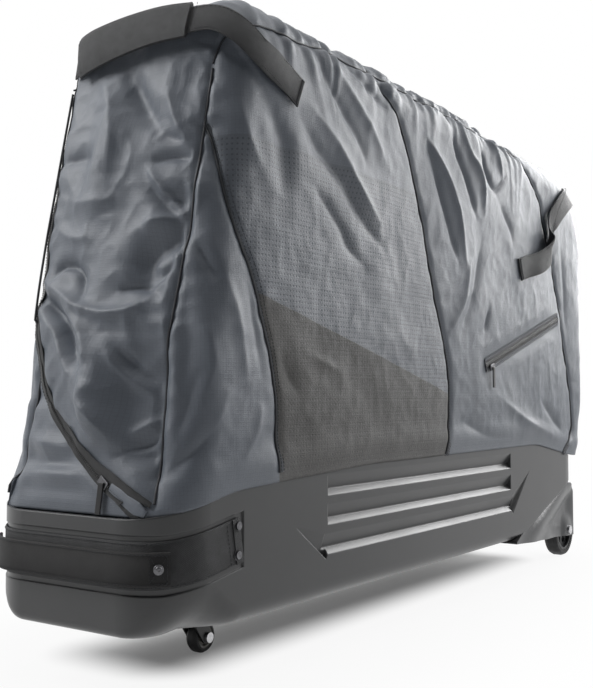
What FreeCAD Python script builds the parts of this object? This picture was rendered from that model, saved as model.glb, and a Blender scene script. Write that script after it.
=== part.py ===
import FreeCAD, Part
import math
import os

import Sketcher
from FreeCAD import Placement, Rotation, Vector

# Bike travel case: a moulded tub on a swivel caster and two fixed wheels, under a zipped fabric cover.
# +X points to the rear wheels, -Y is the pocket side, +Z is up, and the floor is Z = 0.
# Distances called "from the nose" are measured along X from the front plane of the tub.

DIMENSIONS = [
    # Cutting shapes
    ("limit", 1000, "reach of cutting shapes past the whole case"),
    ("overshoot", 5, "how far a cutting shape passes a face"),
    # Tub
    ("nose_x", -642.5, "X of the tub's front plane"),
    ("tub_half", 145, "half width of the tub"),
    ("tub_stern", 1250, "rear end of the tub, from the nose"),
    ("nose_round", 70, "plan radius of the front corners"),
    ("stern_round", 100, "plan radius of the rear corners"),
    ("tub_floor", 70, "height of the tub's underside"),
    ("tub_wall", 4, "wall of the tub"),
    ("sole_round", 22, "radius of the lower side edges"),
    ("sole_turn", 125, "where they have that radius from, from the nose"),
    ("bow_round", 56, "their radius at their front ends"),
    ("chin_round", 10, "radius of the lower front edge"),
    ("rim_lead", 172, "rim height, extended ahead of the nose"),
    ("rim_lead_x", -100, "where that height is, from the nose"),
    ("rim_knee", 219, "rim height where it flattens"),
    ("rim_knee_x", 110, "where it flattens, from the nose"),
    ("rim_front", 233, "rim height at the start of the long straight"),
    ("rim_front_x", 400, "start of the long straight, from the nose"),
    ("rim_rear", 236, "rim height at the end of the long straight"),
    ("rim_rear_x", 1000, "end of the long straight, from the nose"),
    ("rim_stern", 207, "rim height at the stern"),
    ("rim_stern_x", 1185, "where the rim reaches it, from the nose"),
    ("rim_round", 260, "radius of the rim's bends"),
    ("rim_flow", 1040, "radius of its gentle bend before the long straight"),
    ("ramp_start", 905, "start of the slope under the stern, from the nose"),
    ("ramp_rise", 0.326, "rise of that slope per unit of length"),
    ("ramp_wall", 4.4, "wall of that slope, measured upright"),
    # Louvres in the tub's sides
    ("louvre_front", 300, "front end of the louvres, from the nose"),
    ("louvre_rear", 880, "rear end of the louvres, from the nose"),
    ("louvre_low", 126, "height of the lowest ledge's outer edge"),
    ("louvre_lip", 8, "height that a ledge climbs from its outer edge to its inner one"),
    ("louvre_pitch", 36.5, "height between ledges"),
    ("louvre_rise", 26, "height over which a louvre slopes back in"),
    ("louvre_depth", 8, "depth of a ledge"),
    ("wing_front", 292, "front end of the lowest ledge, where it turns up, from the nose"),
    ("wing_rear", 891, "rear end of the lowest ledge, where it turns up, from the nose"),
    ("wing_front_run", 63, "length along X of the front upturn"),
    ("wing_front_rise", 41, "height of the front upturn"),
    ("wing_rear_run", 75, "length along X of the rear upturn"),
    ("wing_rear_rise", 65, "height of the rear upturn"),
    ("wing_wide", 60, "reach of the upturns' slopes into the side"),
    ("pad_front", 224, "front end of the thick wall behind the louvres, from the nose"),
    ("pad_rear", 1066, "rear end of the thick wall, from the nose"),
    ("pad_low", 100, "lower edge of the thick wall"),
    ("pad_wall", 12, "thick wall behind the louvres"),
    # Cover
    ("cover_half", 147, "half width of the cover"),
    ("cloth", 3, "thickness of the padded cloth"),
    ("cover_round", 60, "radius where the side panels turn into the gusset"),
    ("cover_foot", 180, "lower end of the cover's form, below the rim"),
    ("foot_step", 4, "how much lower an inner form reaches for each unit it is drawn in"),
    ("front_foot_x", 4, "front panel at its foot, from the nose"),
    ("front_waist", 427, "height where the front panel starts to lean further"),
    ("front_waist_x", 41, "front panel there, from the nose"),
    ("front_bend", 1500, "radius of that bend"),
    ("top_front", 801, "height of the top at the front"),
    ("top_front_x", 119, "front top corner, from the nose"),
    ("top_front_round", 76, "radius of the front top corner"),
    ("top_bend", 796, "height where the top starts to fall"),
    ("top_bend_x", 700, "where it starts to fall, from the nose"),
    ("top_bend_round", 2400, "radius of that bend"),
    ("top_rear", 764, "height of the rear top corner"),
    ("rear_x", 1281, "rear end of the cover, from the nose"),
    ("top_rear_round", 165, "radius of the rear top corner"),
    ("rear_tuck", 300, "height where the rear end starts to draw in"),
    ("rear_tuck_round", 120, "radius of that bend"),
    ("rear_foot_x", 1246, "rear end of the cover at its foot, from the nose"),
    ("seam_y", 118, "distance of the long seams from the middle"),
    ("hinge_z", 239.5, "height of the line where the near side folds down"),
    ("hinge_gap", 0.5, "gap on each side of the fold line"),
    ("front_top_seam", 172, "seam between the front panel and the top, from the nose"),
    ("top_rear_seam", 1130, "seam between the top and the rear panel, from the nose"),
    # Seams between the panels of a side, from the nose
    ("seam_foot_z", 100, "height where the seam lines end, below the rim"),
    ("seam_edge_round", 60, "radius of a seam near the top edge"),
    ("seam_knee_round", 100, "radius of a seam's upper bend"),
    ("seam_low_round", 130, "radius of a seam's lower bend"),
    ("seam1_top_x", 58, "first seam at the front corner"),
    ("seam1_top_z", 622, "height of that point"),
    ("seam1_low_x", 196, "first seam at its lower bend"),
    ("seam1_low_z", 300, "height of that bend"),
    ("seam1_foot_x", 204, "first seam at its foot"),
    ("seam1_round", 300, "radius of the first seam's bend"),
    ("seam2_top_x", 312, "second seam, extended above the case"),
    ("seam2_edge_x", 352, "second seam near the top edge"),
    ("seam2_edge_z", 780, "height of that point"),
    ("seam2_knee_x", 425, "second seam at its upper bend"),
    ("seam2_knee_z", 735, "height of that bend"),
    ("seam2_low_x", 652, "second seam at its lower bend"),
    ("seam2_low_z", 330, "height of that bend"),
    ("seam2_foot_x", 618, "second seam at its foot"),
    ("seam3_top_x", 878, "third seam, extended above the case"),
    ("seam3_edge_x", 930, "third seam near the top edge"),
    ("seam3_edge_z", 765, "height of that point"),
    ("seam3_knee_x", 1055, "third seam at its upper bend"),
    ("seam3_knee_z", 700, "height of that bend"),
    ("seam3_low_x", 1196, "third seam at its lower bend"),
    ("seam3_low_z", 300, "height of that bend"),
    ("seam3_foot_x", 1120, "third seam at its foot"),
    # Zip
    ("zip_start_y", -125, "start of the zip line, below the near front corner"),
    ("zip_start_z", 189, "height of that start"),
    ("zip_low_y", -40, "first bend of the zip line"),
    ("zip_low_z", 234, "height of the first bend"),
    ("zip_mid_y", 60, "second bend of the zip line"),
    ("zip_mid_z", 310, "height of the second bend"),
    ("zip_edge_y", 113, "the zip line along the far edge"),
    ("zip_edge_z", 430, "height where it reaches the far edge"),
    ("zip_round", 110, "radius of the zip line's bends"),
    ("zip_row", 1.7, "width of one row of teeth"),
    ("zip_gap", 0.7, "gap between the rows"),
    ("zip_drop", 0.66, "drop of the zip line for each unit it is moved out"),
    ("slider_y", -46, "main slider, across the front"),
    ("slider_z", 230, "height of the main slider"),
    ("slider_long", 15, "length of a slider"),
    ("slider_wide", 10, "width of a slider"),
    ("slider_thick", 3.6, "thickness of a slider"),
    ("slider_clear", 0.6, "gap between a slider and the cloth"),
    ("slider_soft", 1.2, "radius of a slider's edges"),
    ("puller_long", 34, "length of a puller"),
    ("puller_wide", 8, "width of a puller"),
    ("puller_thick", 1.8, "thickness of a puller"),
    ("puller_clear", 0.4, "gap between a slider and its puller"),
    ("puller_soft", 0.7, "radius of a puller's edges"),
    # Pocket
    ("pocket_front", 779, "front end of the pocket zip, from the nose"),
    ("pocket_front_z", 368, "height of that end"),
    ("pocket_long", 352, "length of the pocket zip"),
    ("pocket_tilt", 16.4, "slope of the pocket zip in degrees"),
    ("pocket_wide", 14, "width of the pocket zip's tape"),
    ("tape_thick", 1.2, "thickness of zip tape"),
    ("pouch_deep", 108, "depth of the pocket's pouch"),
    ("pouch_inset", 10, "how far the pouch ends inside the zip's ends, and its height over the zip"),
    ("pouch_clear", 0.5, "gap between the pouch and the cloth"),
    ("pouch_thick", 2, "thickness of the folded pouch"),
    # Webbing
    ("belt_wide", 50, "width of the front belt"),
    ("belt_thick", 3, "thickness of the front belt"),
    ("belt_end", 122, "rear ends of the front belt, from the nose"),
    ("belt_end_z", 165, "height of the belt's middle at its ends"),
    ("belt_front_z", 147, "height of the belt's middle across the nose"),
    ("belt_bend", 60, "radius of the belt's bend"),
    ("belt_turn", 18, "where the belt starts to climb, from the nose"),
    ("belt_recess", 2, "depth of the recess that the belt lies in"),
    ("belt_recess_edge", 6, "margin of the recess round the belt"),
    ("belt_screw_x", 115, "belt screws, from the nose"),
    ("belt_screw_pitch", 32, "distance between the two screws of an end"),
    ("grab_wide", 36, "width of the front grab handle"),
    ("grab_thick", 4, "thickness of the front grab handle"),
    ("grab_gap", 11, "room for fingers behind the front grab handle"),
    ("grab_end", 34, "rear ends of the grab handle, from the nose"),
    ("grab_pad", 14, "where its sewn ends start, from the nose"),
    ("web_thick", 3, "thickness of the handle webbing"),
    ("web_clear", 0.3, "gap between webbing or tape and the cloth"),
    ("lift_wide", 40, "width of the lift handle"),
    ("lift_end_x", 236, "sewn end of the lift handle, from the nose"),
    ("lift_end_z", 684, "height of the sewn end"),
    ("lift_top_x", 96, "where the lift handle's line passes the corner, from the nose"),
    ("lift_top_z", 776, "height of that point"),
    ("grip_half", 78, "half length of the grip sleeve"),
    ("grip_wide", 52, "width of the grip sleeve"),
    ("grip_thick", 13, "height of the grip sleeve over the cover"),
    ("rear_web_x", 905, "sewn end of the rear handle, from the nose"),
    ("rear_web_z", 540, "height of the sewn end"),
    ("rear_top_x", 1290, "where the rear handle's line passes the corner, from the nose"),
    ("rear_top_z", 742, "height of that point"),
    # Caster
    ("caster_x", 208, "swivel axis of the caster, from the nose"),
    ("caster_trail", 18, "trail of the caster wheel"),
    ("caster_r", 20, "radius of the caster wheel"),
    ("caster_wide", 18, "width of the caster wheel"),
    ("caster_axle", 4, "radius of the caster's axle"),
    ("plate_long", 62, "length of the caster plate"),
    ("plate_wide", 54, "width of the caster plate"),
    ("plate_thick", 3, "thickness of the caster plate"),
    ("plate_pitch_x", 46, "bolt spacing along the plate"),
    ("plate_pitch_y", 38, "bolt spacing across the plate"),
    ("bolt_r", 2.5, "radius of the small bolts"),
    ("bolt_head_r", 4.6, "radius of their heads"),
    ("bolt_head_thick", 2.4, "thickness of their heads"),
    ("bolt_clear", 0.1, "gap round the small bolts"),
    ("swivel_bore", 6, "radius of the swivel's bore"),
    ("swivel_gap", 0.5, "gap between the fork and the parts over it"),
    ("race_high", 5, "height of the swivel's race"),
    ("race_top_r", 19, "radius of the race at the plate"),
    ("race_low_r", 16, "radius of the race at its lower end"),
    ("crown_r", 17, "radius of the fork's crown"),
    ("fork_thick", 2.5, "thickness of the caster fork"),
    ("fork_side", 1.2, "room beside the caster wheel"),
    ("leg_half", 15, "half length of a fork leg at its top"),
    ("leg_root", 12, "height of a fork leg's front edge"),
    ("leg_tip", 7, "half length of a fork leg at the axle, and its height below it"),
    ("leg_round", 6, "radius of a fork leg's tip"),
    ("axle_head_r", 6.5, "radius of the caster axle's head and nut"),
    ("axle_head", 3.5, "thickness of that head and nut"),
    ("press_clear", 0.02, "gap round an axle that is held tight"),
    ("caster_tread", 6, "thickness of the caster's tyre"),
    ("caster_rim", 3, "thickness of the caster core's rim"),
    ("caster_hub", 2.5, "thickness of the caster core's hub"),
    # Rear wheels
    ("wheel_x", 1247, "rear axle, from the nose"),
    ("wheel_y", 94, "middle plane of a rear wheel"),
    ("wheel_r", 52, "radius of a rear wheel"),
    ("wheel_wide", 26, "width of a rear wheel"),
    ("wheel_axle", 5, "radius of a rear axle"),
    ("wheel_tread", 11, "thickness of a rear tyre"),
    ("wheel_rim", 5, "thickness of a rear core's rim"),
    ("wheel_hub", 6, "thickness of a rear core's hub"),
    ("spoke_hole_r", 7.5, "radius of the holes between a rear core's spokes"),
    ("spoke_circle", 23.5, "radius of the circle that the holes lie on"),
    ("tread_drop", 3, "how much lower a tread's edges are than its middle"),
    ("tread_round", 3, "radius of a tread's bends"),
    ("tread_part", 0.5, "flat part of a tread, as a share of the width"),
    ("shoulder_round", 2, "radius of a tyre's shoulders"),
    ("web_part", 0.35, "thickness of a core's disc, as a share of the width"),
    ("core_inset", 1, "how far a core's ends lie inside the tyre's"),
    ("well_clear", 4, "room round a rear wheel"),
    ("well_side", 1.5, "room beside a rear wheel"),
    ("well_back", 40, "height of the opening behind a rear wheel, over its axle"),
    ("housing_front_x", 906, "front tip of the housing, from the nose"),
    ("housing_front_y", 144.5, "outer face of the housing at that tip"),
    ("housing_tip", 3, "height of that tip"),
    ("housing_knee_x", 1217, "where the housing's outer face and lower edge bend, from the nose"),
    ("housing_knee_z", 42, "height of the lower edge there"),
    ("housing_knee_round", 80, "radius of the lower edge's bend"),
    ("cheek_y", 117, "outer face of the housing beside the wheel"),
    ("cheek_round", 300, "radius of the outer face's bend"),
    ("cheek_end_y", 113, "outer face of the housing at its rear end"),
    ("cheek_end_round", 16, "radius of the housing's upright rear edge"),
    ("housing_inner_y", 62, "inner face of the housing"),
    ("housing_rear", 1293, "rear end of the housing, from the nose"),
    ("housing_low", 38, "lower edge of the housing at its rear end"),
    ("housing_low_round", 14, "radius of the lower rear edge"),
    ("housing_back_z", 130, "height of the housing's upper rear edge"),
    ("housing_back_round", 44, "radius of that edge"),
    ("housing_crown_x", 1231, "where the housing's top bends, from the nose"),
    ("housing_crown_z", 150, "height of that bend"),
    ("housing_crown_round", 30, "radius of that bend"),
    ("housing_flat_x", 1165, "where the housing's top leaves the slope, from the nose"),
    ("gasket_thick", 2, "thickness of the housing gasket"),
    ("axle_face_y", 116, "seat of a rear axle's head"),
    ("wheel_bolt_r", 8.5, "radius of a rear axle's head and nut"),
    ("wheel_bolt_head", 3.5, "thickness of that head and nut"),
    # Inside
    ("hoop_r", 5, "radius of the hoop rods"),
    ("hoop_y", 125, "hoop legs, from the middle"),
    ("hoop_foot", 150, "lower ends of the hoops"),
    ("hoop_drop", 22, "middle of a hoop's top below the cover's top"),
    ("hoop_rear_top", 770, "height of the cover over the rear hoop"),
    ("hoop_round", 50, "radius of a hoop's corners"),
    ("hoop_front", 330, "front hoop, from the nose"),
    ("hoop_pitch", 355, "distance between hoops"),
    ("socket_half", 8, "wall and bore of a hoop socket, from its middle inwards"),
    ("socket_long", 24, "length of a hoop socket"),
    ("socket_floor", 6, "floor of a hoop socket"),
    ("socket_high", 56, "height of a hoop socket"),
    ("pad_thick", 8, "thickness of the floor pad"),
    ("pad_half", 118, "half width of the floor pad"),
    ("pad_start", 118, "front end of the floor pad, from the nose"),
    ("pad_end", 885, "rear end of the floor pad, from the nose"),
    ("pad_front_round", 40, "radius of the pad's front corners"),
    ("pad_rear_round", 10, "radius of the pad's rear corners"),
    ("rail_start", 110, "front end of the rail, from the nose"),
    ("rail_end", 860, "rear end of the rail, from the nose"),
    ("rail_half", 20, "half width of the rail"),
    ("rail_high", 18, "height of the rail"),
    ("rail_wall", 3, "wall of the rail"),
    ("rail_slot_half", 8, "half width of the rail's slot"),
    ("mount_x", 150, "axle line of the fork mount, from the nose"),
    ("mount_z", 178, "height of that axle"),
    ("mount_half", 46, "half width of the fork mount"),
    ("mount_thick", 36, "length of the fork mount's post"),
    ("mount_cap", 16, "height of the fork mount over its axle"),
    ("mount_cheek", 14, "thickness of the fork mount's cheeks"),
    ("mount_foot", 14, "thickness of the fork mount's foot"),
    ("skewer_r", 6, "radius of the skewer"),
    ("skewer_clear", 0.05, "running clearance round rods and axles"),
    ("skewer_half", 62, "half length of the skewer"),
    ("skewer_nut_r", 11, "radius of the skewer's nut"),
    ("skewer_nut_long", 10, "length of the skewer's nut"),
    ("lever_gap", 0.5, "gap between the skewer and its lever"),
    ("lever_half", 7, "half width of the skewer's lever"),
    ("lever_soft", 3, "radius of the lever's edges"),
    ("lever_long", 56, "length of the skewer's lever"),
    ("lever_thick", 7, "thickness of the skewer's lever"),
    ("cradle_x", 540, "middle of the cradle, from the nose"),
    ("cradle_long", 84, "length of the cradle"),
    ("cradle_half", 34, "half width of the cradle"),
    ("cradle_high", 62, "height of the cradle"),
    ("cradle_seat_r", 26, "radius of the cradle's seat"),
    ("cradle_seat_rise", 8, "height of the seat's middle over the cradle"),
    ("cradle_lining", 5, "thickness of the cradle's pad"),
    ("cradle_gap", 0.5, "gap between the cradle and the rail"),
    ("shoe_half", 30, "half length of the cradle's shoe in the rail"),
    ("shoe_gap", 1, "gap round that shoe"),
    # Small fasteners
    ("washer_extra", 1.6, "how much wider a belt washer is than its screw's head"),
    ("washer_thick", 1, "thickness of a belt washer"),
    ("nut_thick", 4, "thickness of a belt screw's nut"),
]

doc = FreeCAD.newDocument("BikeTravelCase")
sheet = doc.addObject("Spreadsheet::Sheet", "Sheet")
for row, (alias, number, note) in enumerate(DIMENSIONS, start=1):
    sheet.set(f"A{row}", alias)
    sheet.set(f"B{row}", str(number))
    sheet.set(f"C{row}", note)
    sheet.setAlias(f"B{row}", alias)
doc.recompute()

ALIASES = {alias for alias, _, _ in DIMENSIONS}
ZIP_WIDTH = "2 * zip_row + zip_gap"
ACROSS = ("0 - limit", "limit")
HOOPS = [("front", "top_bend"), ("middle", "top_bend"), ("rear", "hoop_rear_top")]
SPOKES = 6
NODES = {}
PLANES = {
    "XY": Placement(),
    "XZ": Placement(Vector(), Rotation(Vector(1, 0, 0), 90)),
    "YZ": Placement(Vector(), Rotation(Vector(1, 1, 1), 120)),
}
AXIS_TURN = {
    "X": Rotation(Vector(0, 1, 0), 90),
    "Y": Rotation(Vector(1, 0, 0), -90),
    "Z": Rotation(),
}


def bound(text):
    """Write each dimension's name in an expression as its cell in the sheet."""
    words = str(text).replace("(", " ( ").replace(")", " ) ").split()
    cells = " ".join(f"Sheet.{word}" if word in ALIASES else word for word in words)
    return cells.replace("sqrt (", "sqrt(")


def value(text):
    """The number that an expression gives."""
    return float(sheet.evalExpression(bound(text)))


def nose(text):
    """X of a distance from the nose."""
    return f"nose_x + ( {text} )"


def minus(text):
    """The same expression with the other sign."""
    return f"0 - ( {text} )"


def bind(item, prop, text):
    item.setExpression(prop, bound(text))


def keep(item, label):
    """Name a finished sub-part."""
    item.Label = label
    NODES[label] = item
    return item


def corner_arc(before, corner, after, radius):
    """Tangent points and centre of an arc that rounds a corner, and which way it turns."""
    back = (before - corner).normalize()
    ahead = (after - corner).normalize()
    half = back.getAngle(ahead) / 2
    reach = radius / math.tan(half)
    middle = (back + ahead).normalize()
    centre = corner + middle * (radius / math.sin(half))
    left_turn = (-back).cross(ahead).z > 0
    return corner + back * reach, corner + ahead * reach, centre, left_turn


def outline(name, plane, corners):
    """A closed sketch through corners (u, v) or rounded corners (u, v, radius), all bound to the sheet."""
    sketch = doc.addObject("Sketcher::SketchObject", name)
    sketch.Placement = PLANES[plane]
    points = [Vector(value(corner[0]), value(corner[1]), 0) for corner in corners]
    count = len(points)
    starts, ends, arcs = [], [], {}
    for i, corner in enumerate(corners):
        if len(corner) == 3:
            arc = corner_arc(points[i - 1], points[i], points[(i + 1) % count], value(corner[2]))
            ends.append(arc[0])
            starts.append(arc[1])
            arcs[i] = arc
        else:
            ends.append(points[i])
            starts.append(points[i])
    lines = [
        sketch.addGeometry(Part.LineSegment(starts[i], ends[(i + 1) % count]), False) for i in range(count)
    ]

    def fix(prop, kind, geometry, text):
        index = sketch.addConstraint(Sketcher.Constraint(kind, -1, 1, geometry, 1, value(text)))
        sketch.renameConstraint(index, prop)
        bind(sketch, f"Constraints.{prop}", text)

    for i, corner in enumerate(corners):
        arriving, leaving = lines[i - 1], lines[i]
        if i not in arcs:
            sketch.addConstraint(Sketcher.Constraint("Coincident", arriving, 2, leaving, 1))
            fix(f"u{i}", "DistanceX", leaving, corner[0])
            fix(f"v{i}", "DistanceY", leaving, corner[1])
            continue
        first, last, centre, left_turn = arcs[i]
        start, end = (first, last) if left_turn else (last, first)
        start_angle = math.atan2(start.y - centre.y, start.x - centre.x)
        end_angle = math.atan2(end.y - centre.y, end.x - centre.x)
        circle = Part.Circle(centre, Vector(0, 0, 1), (start - centre).Length)
        arc = sketch.addGeometry(Part.ArcOfCircle(circle, start_angle, end_angle), False)
        point = sketch.addGeometry(Part.Point(points[i]), True)
        arriving_end, leaving_end = (1, 2) if left_turn else (2, 1)
        sketch.addConstraint(Sketcher.Constraint("Tangent", arriving, 2, arc, arriving_end))
        sketch.addConstraint(Sketcher.Constraint("Tangent", leaving, 1, arc, leaving_end))
        sketch.addConstraint(Sketcher.Constraint("PointOnObject", point, 1, arriving))
        sketch.addConstraint(Sketcher.Constraint("PointOnObject", point, 1, leaving))
        index = sketch.addConstraint(Sketcher.Constraint("Radius", arc, value(corner[2])))
        sketch.renameConstraint(index, f"r{i}")
        bind(sketch, f"Constraints.r{i}", corner[2])
        fix(f"u{i}", "DistanceX", point, corner[0])
        fix(f"v{i}", "DistanceY", point, corner[1])
    return sketch


def prism(name, plane, corners, low, high):
    """An outline drawn out along the plane's axis, from low to high."""
    sketch = outline(f"{name}_outline", plane, corners)
    solid = doc.addObject("Part::Extrusion", name)
    solid.Base = sketch
    solid.DirMode = "Normal"
    solid.Solid = True
    axis, start = {"XY": ("z", low), "YZ": ("x", low), "XZ": ("y", high)}[plane]
    bind(sketch, f"Placement.Base.{axis}", start)
    bind(solid, "LengthFwd", f"( {high} ) - ( {low} )")
    return solid


def box(name, x, y, z):
    """A box between the pairs x, y and z."""
    solid = doc.addObject("Part::Box", name)
    for prop, axis, (low, high) in (("Length", "x", x), ("Width", "y", y), ("Height", "z", z)):
        bind(solid, prop, f"( {high} ) - ( {low} )")
        bind(solid, f"Placement.Base.{axis}", low)
    return solid


def rod(name, axis, radius, at, low, high):
    """A cylinder along an axis from low to high; at gives its other two coordinates in X, Y, Z order."""
    solid = doc.addObject("Part::Cylinder", name)
    solid.Placement = Placement(Vector(), AXIS_TURN[axis])
    others = [letter for letter in "XYZ" if letter != axis]
    bind(solid, "Radius", radius)
    bind(solid, "Height", f"( {high} ) - ( {low} )")
    bind(solid, f"Placement.Base.{axis.lower()}", low)
    for letter, text in zip(others, at):
        bind(solid, f"Placement.Base.{letter.lower()}", text)
    return solid


def cut(name, base, *tools):
    """A shape with others taken away."""
    result = base
    for i, tool in enumerate(tools):
        step = doc.addObject("Part::Cut", name if i == len(tools) - 1 else f"{name}_step{i}")
        step.Base = result
        step.Tool = tool
        result = step
    return result


def common(name, *shapes):
    """What shapes share."""
    solid = doc.addObject("Part::MultiCommon", name)
    solid.Shapes = list(shapes)
    return solid


def fuse(name, *shapes):
    """Shapes joined to one, or kept together as a group where they are apart."""
    solid = doc.addObject("Part::MultiFuse", name)
    solid.Shapes = list(shapes)
    return solid


def group(name, *shapes):
    """Separate solids that share a node."""
    solid = doc.addObject("Part::Compound", name)
    solid.Links = list(shapes)
    return solid


def mirrored(name, source):
    """The same piece on the other side of the middle plane."""
    solid = doc.addObject("Part::Mirroring", name)
    solid.Source = source
    solid.Normal = Vector(0, 1, 0)
    return solid


def rounded(name, base, choose):
    """Edges of a shape rounded; choose gives an edge's two end radii, or None to leave it."""
    doc.recompute()
    edges = []
    for index, edge in enumerate(base.Shape.Edges, start=1):
        radii = choose(edge)
        if radii:
            edges.append((index, *radii))
    solid = doc.addObject("Part::Fillet", name)
    solid.Base = base
    solid.Edges = edges
    return solid


def even(alias):
    """Choose every edge, with the same radius."""
    return lambda edge: (value(alias), value(alias))


def turned(name, axis, at, corners):
    """A profile of (distance along the axis, radius) revolved about Y or Z through at."""
    upright = axis == "Z"
    flat = []
    for along, radius, *bend in corners:
        flat.append((radius, along, *bend) if upright else (along, radius, *bend))
    sketch = outline(f"{name}_outline", "XZ" if upright else "YZ", flat)
    solid = doc.addObject("Part::Revolution", name)
    solid.Source = sketch
    solid.Axis = Vector(0, 0, 1) if upright else Vector(0, 1, 0)
    solid.Angle = 360
    solid.Solid = True
    for letter, text in zip("xyz", at):
        bind(solid, f"Placement.Base.{letter}", text)
    return solid


def placed(name, item, at, turn):
    """A piece turned, then moved to at."""
    solid = doc.addObject("Part::Compound", name)
    solid.Links = [item]
    solid.Placement = Placement(Vector(), turn)
    for letter, text in zip("xyz", at):
        bind(solid, f"Placement.Base.{letter}", text)
    return solid


# Tub

def hull_plan(inset, ahead="0", turn=None):
    """Plan of the tub, drawn in by inset, with its nose moved ahead; turn divides its sides."""
    front = nose(f"( {inset} ) - ( {ahead} )")
    rear = nose(f"tub_stern - ( {inset} )")
    side = f"tub_half - ( {inset} )"
    front_round = f"nose_round - ( {inset} )"
    rear_round = f"stern_round - ( {inset} )"
    near = [(nose(turn), minus(side))] if turn else []
    far = [(nose(turn), side)] if turn else []
    return [
        (front, minus(side), front_round),
        *near,
        (rear, minus(side), rear_round),
        (rear, side, rear_round),
        *far,
        (front, side, front_round),
    ]


def hull_form(name, inset, floor):
    """The tub's outer form, with lower side edges that round off most behind the nose."""
    plan = hull_plan(inset, turn="sole_turn")
    block = prism(f"{name}_block", "XY", plan, floor, "rim_rear + overshoot")
    floor_z = value(floor)
    chin_x = value(nose(inset)) + value("chin_round")
    bow_x = value(nose("sole_turn")) - value("chin_round")

    def radius(x):
        alias = "chin_round" if x < chin_x else "bow_round" if x < bow_x else "sole_round"
        return value(alias) - value(inset)

    def radii(edge):
        ends = [edge.valueAt(p) for p in (edge.FirstParameter, edge.LastParameter)]
        if max(abs(end.z - floor_z) for end in ends) > 0.01:
            return None
        return [radius(end.x) for end in ends]

    return rounded(name, block, radii)


def rim_area():
    """Everything below the rim."""
    return prism(
        "rim_below",
        "XZ",
        [
            (nose("rim_lead_x"), "0"),
            (nose("tub_stern + limit"), "0"),
            (nose("tub_stern + limit"), "rim_stern"),
            (nose("rim_stern_x"), "rim_stern", "rim_round"),
            (nose("rim_rear_x"), "rim_rear", "rim_round"),
            (nose("rim_front_x"), "rim_front", "rim_flow"),
            (nose("rim_knee_x"), "rim_knee", "rim_round"),
            (nose("rim_lead_x"), "rim_lead"),
        ],
        *ACROSS,
    )


def ramp_wedge(name, lift):
    """The space under the sloping stern, raised by lift."""
    rise = "ramp_rise * ( tub_stern + limit - ramp_start )"
    return prism(
        name,
        "XZ",
        [
            (nose("ramp_start"), "0"),
            (nose("tub_stern + limit"), "0"),
            (nose("tub_stern + limit"), f"tub_floor + {lift} + {rise}"),
            (nose("ramp_start"), f"tub_floor + {lift}"),
        ],
        *ACROSS,
    )


def louvre(name, ledge, front, rear):
    """A wedge that slopes in as it goes down, to a ledge that slopes out again."""
    outside = "0 - tub_half - overshoot"
    beyond = "overshoot / louvre_depth"
    return prism(
        name,
        "YZ",
        [
            (outside, f"{ledge} - louvre_lip * {beyond}"),
            ("0 - tub_half + louvre_depth", f"{ledge} + louvre_lip"),
            (outside, f"{ledge} + louvre_rise + ( louvre_rise - louvre_lip ) * {beyond}"),
        ],
        nose(front),
        nose(rear),
    )


def wing(name, corner, run, rise, sign):
    """A sloping cut along an upturned end of the lowest ledge, which fades out away from the ledge."""
    along = Vector(sign * value(run), 0, value(rise))
    length = along.Length
    along.normalize()
    inward = Vector(-sign * along.z, 0, sign * along.x)
    frame = Rotation(along * sign * -1, Vector(0, -1, 0), inward, "XZY")
    depth = value("louvre_depth")
    slope = Rotation(Vector(1, 0, 0), -math.degrees(math.atan2(depth, value("louvre_rise"))))
    fade = Rotation(Vector(0, 0, 1), -sign * math.degrees(math.atan2(depth, length)))
    ends = ("0 - overshoot", f"{length}") if sign < 0 else (f"0 - {length}", "overshoot")
    block = box(f"{name}_block", ends, ("0", "tub_half"), ("0", "wing_wide"))
    at = (nose(corner), "louvre_depth - tub_half", "louvre_low")
    return placed(name, block, at, frame * fade * slope)


def belt_area(name, margin):
    """Side view of the front belt, with a margin round it."""
    half = f"( belt_wide / 2 + {margin} )"
    ahead = nose("0 - limit")
    end = nose(f"belt_end + {margin}")
    return prism(
        name,
        "XZ",
        [
            (ahead, f"belt_front_z - {half}"),
            (nose("belt_turn"), f"belt_front_z - {half}", "belt_bend"),
            (end, f"belt_end_z - {half}"),
            (end, f"belt_end_z + {half}"),
            (nose("belt_turn"), f"belt_front_z + {half}", "belt_bend"),
            (ahead, f"belt_front_z + {half}"),
        ],
        *ACROSS,
    )


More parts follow.
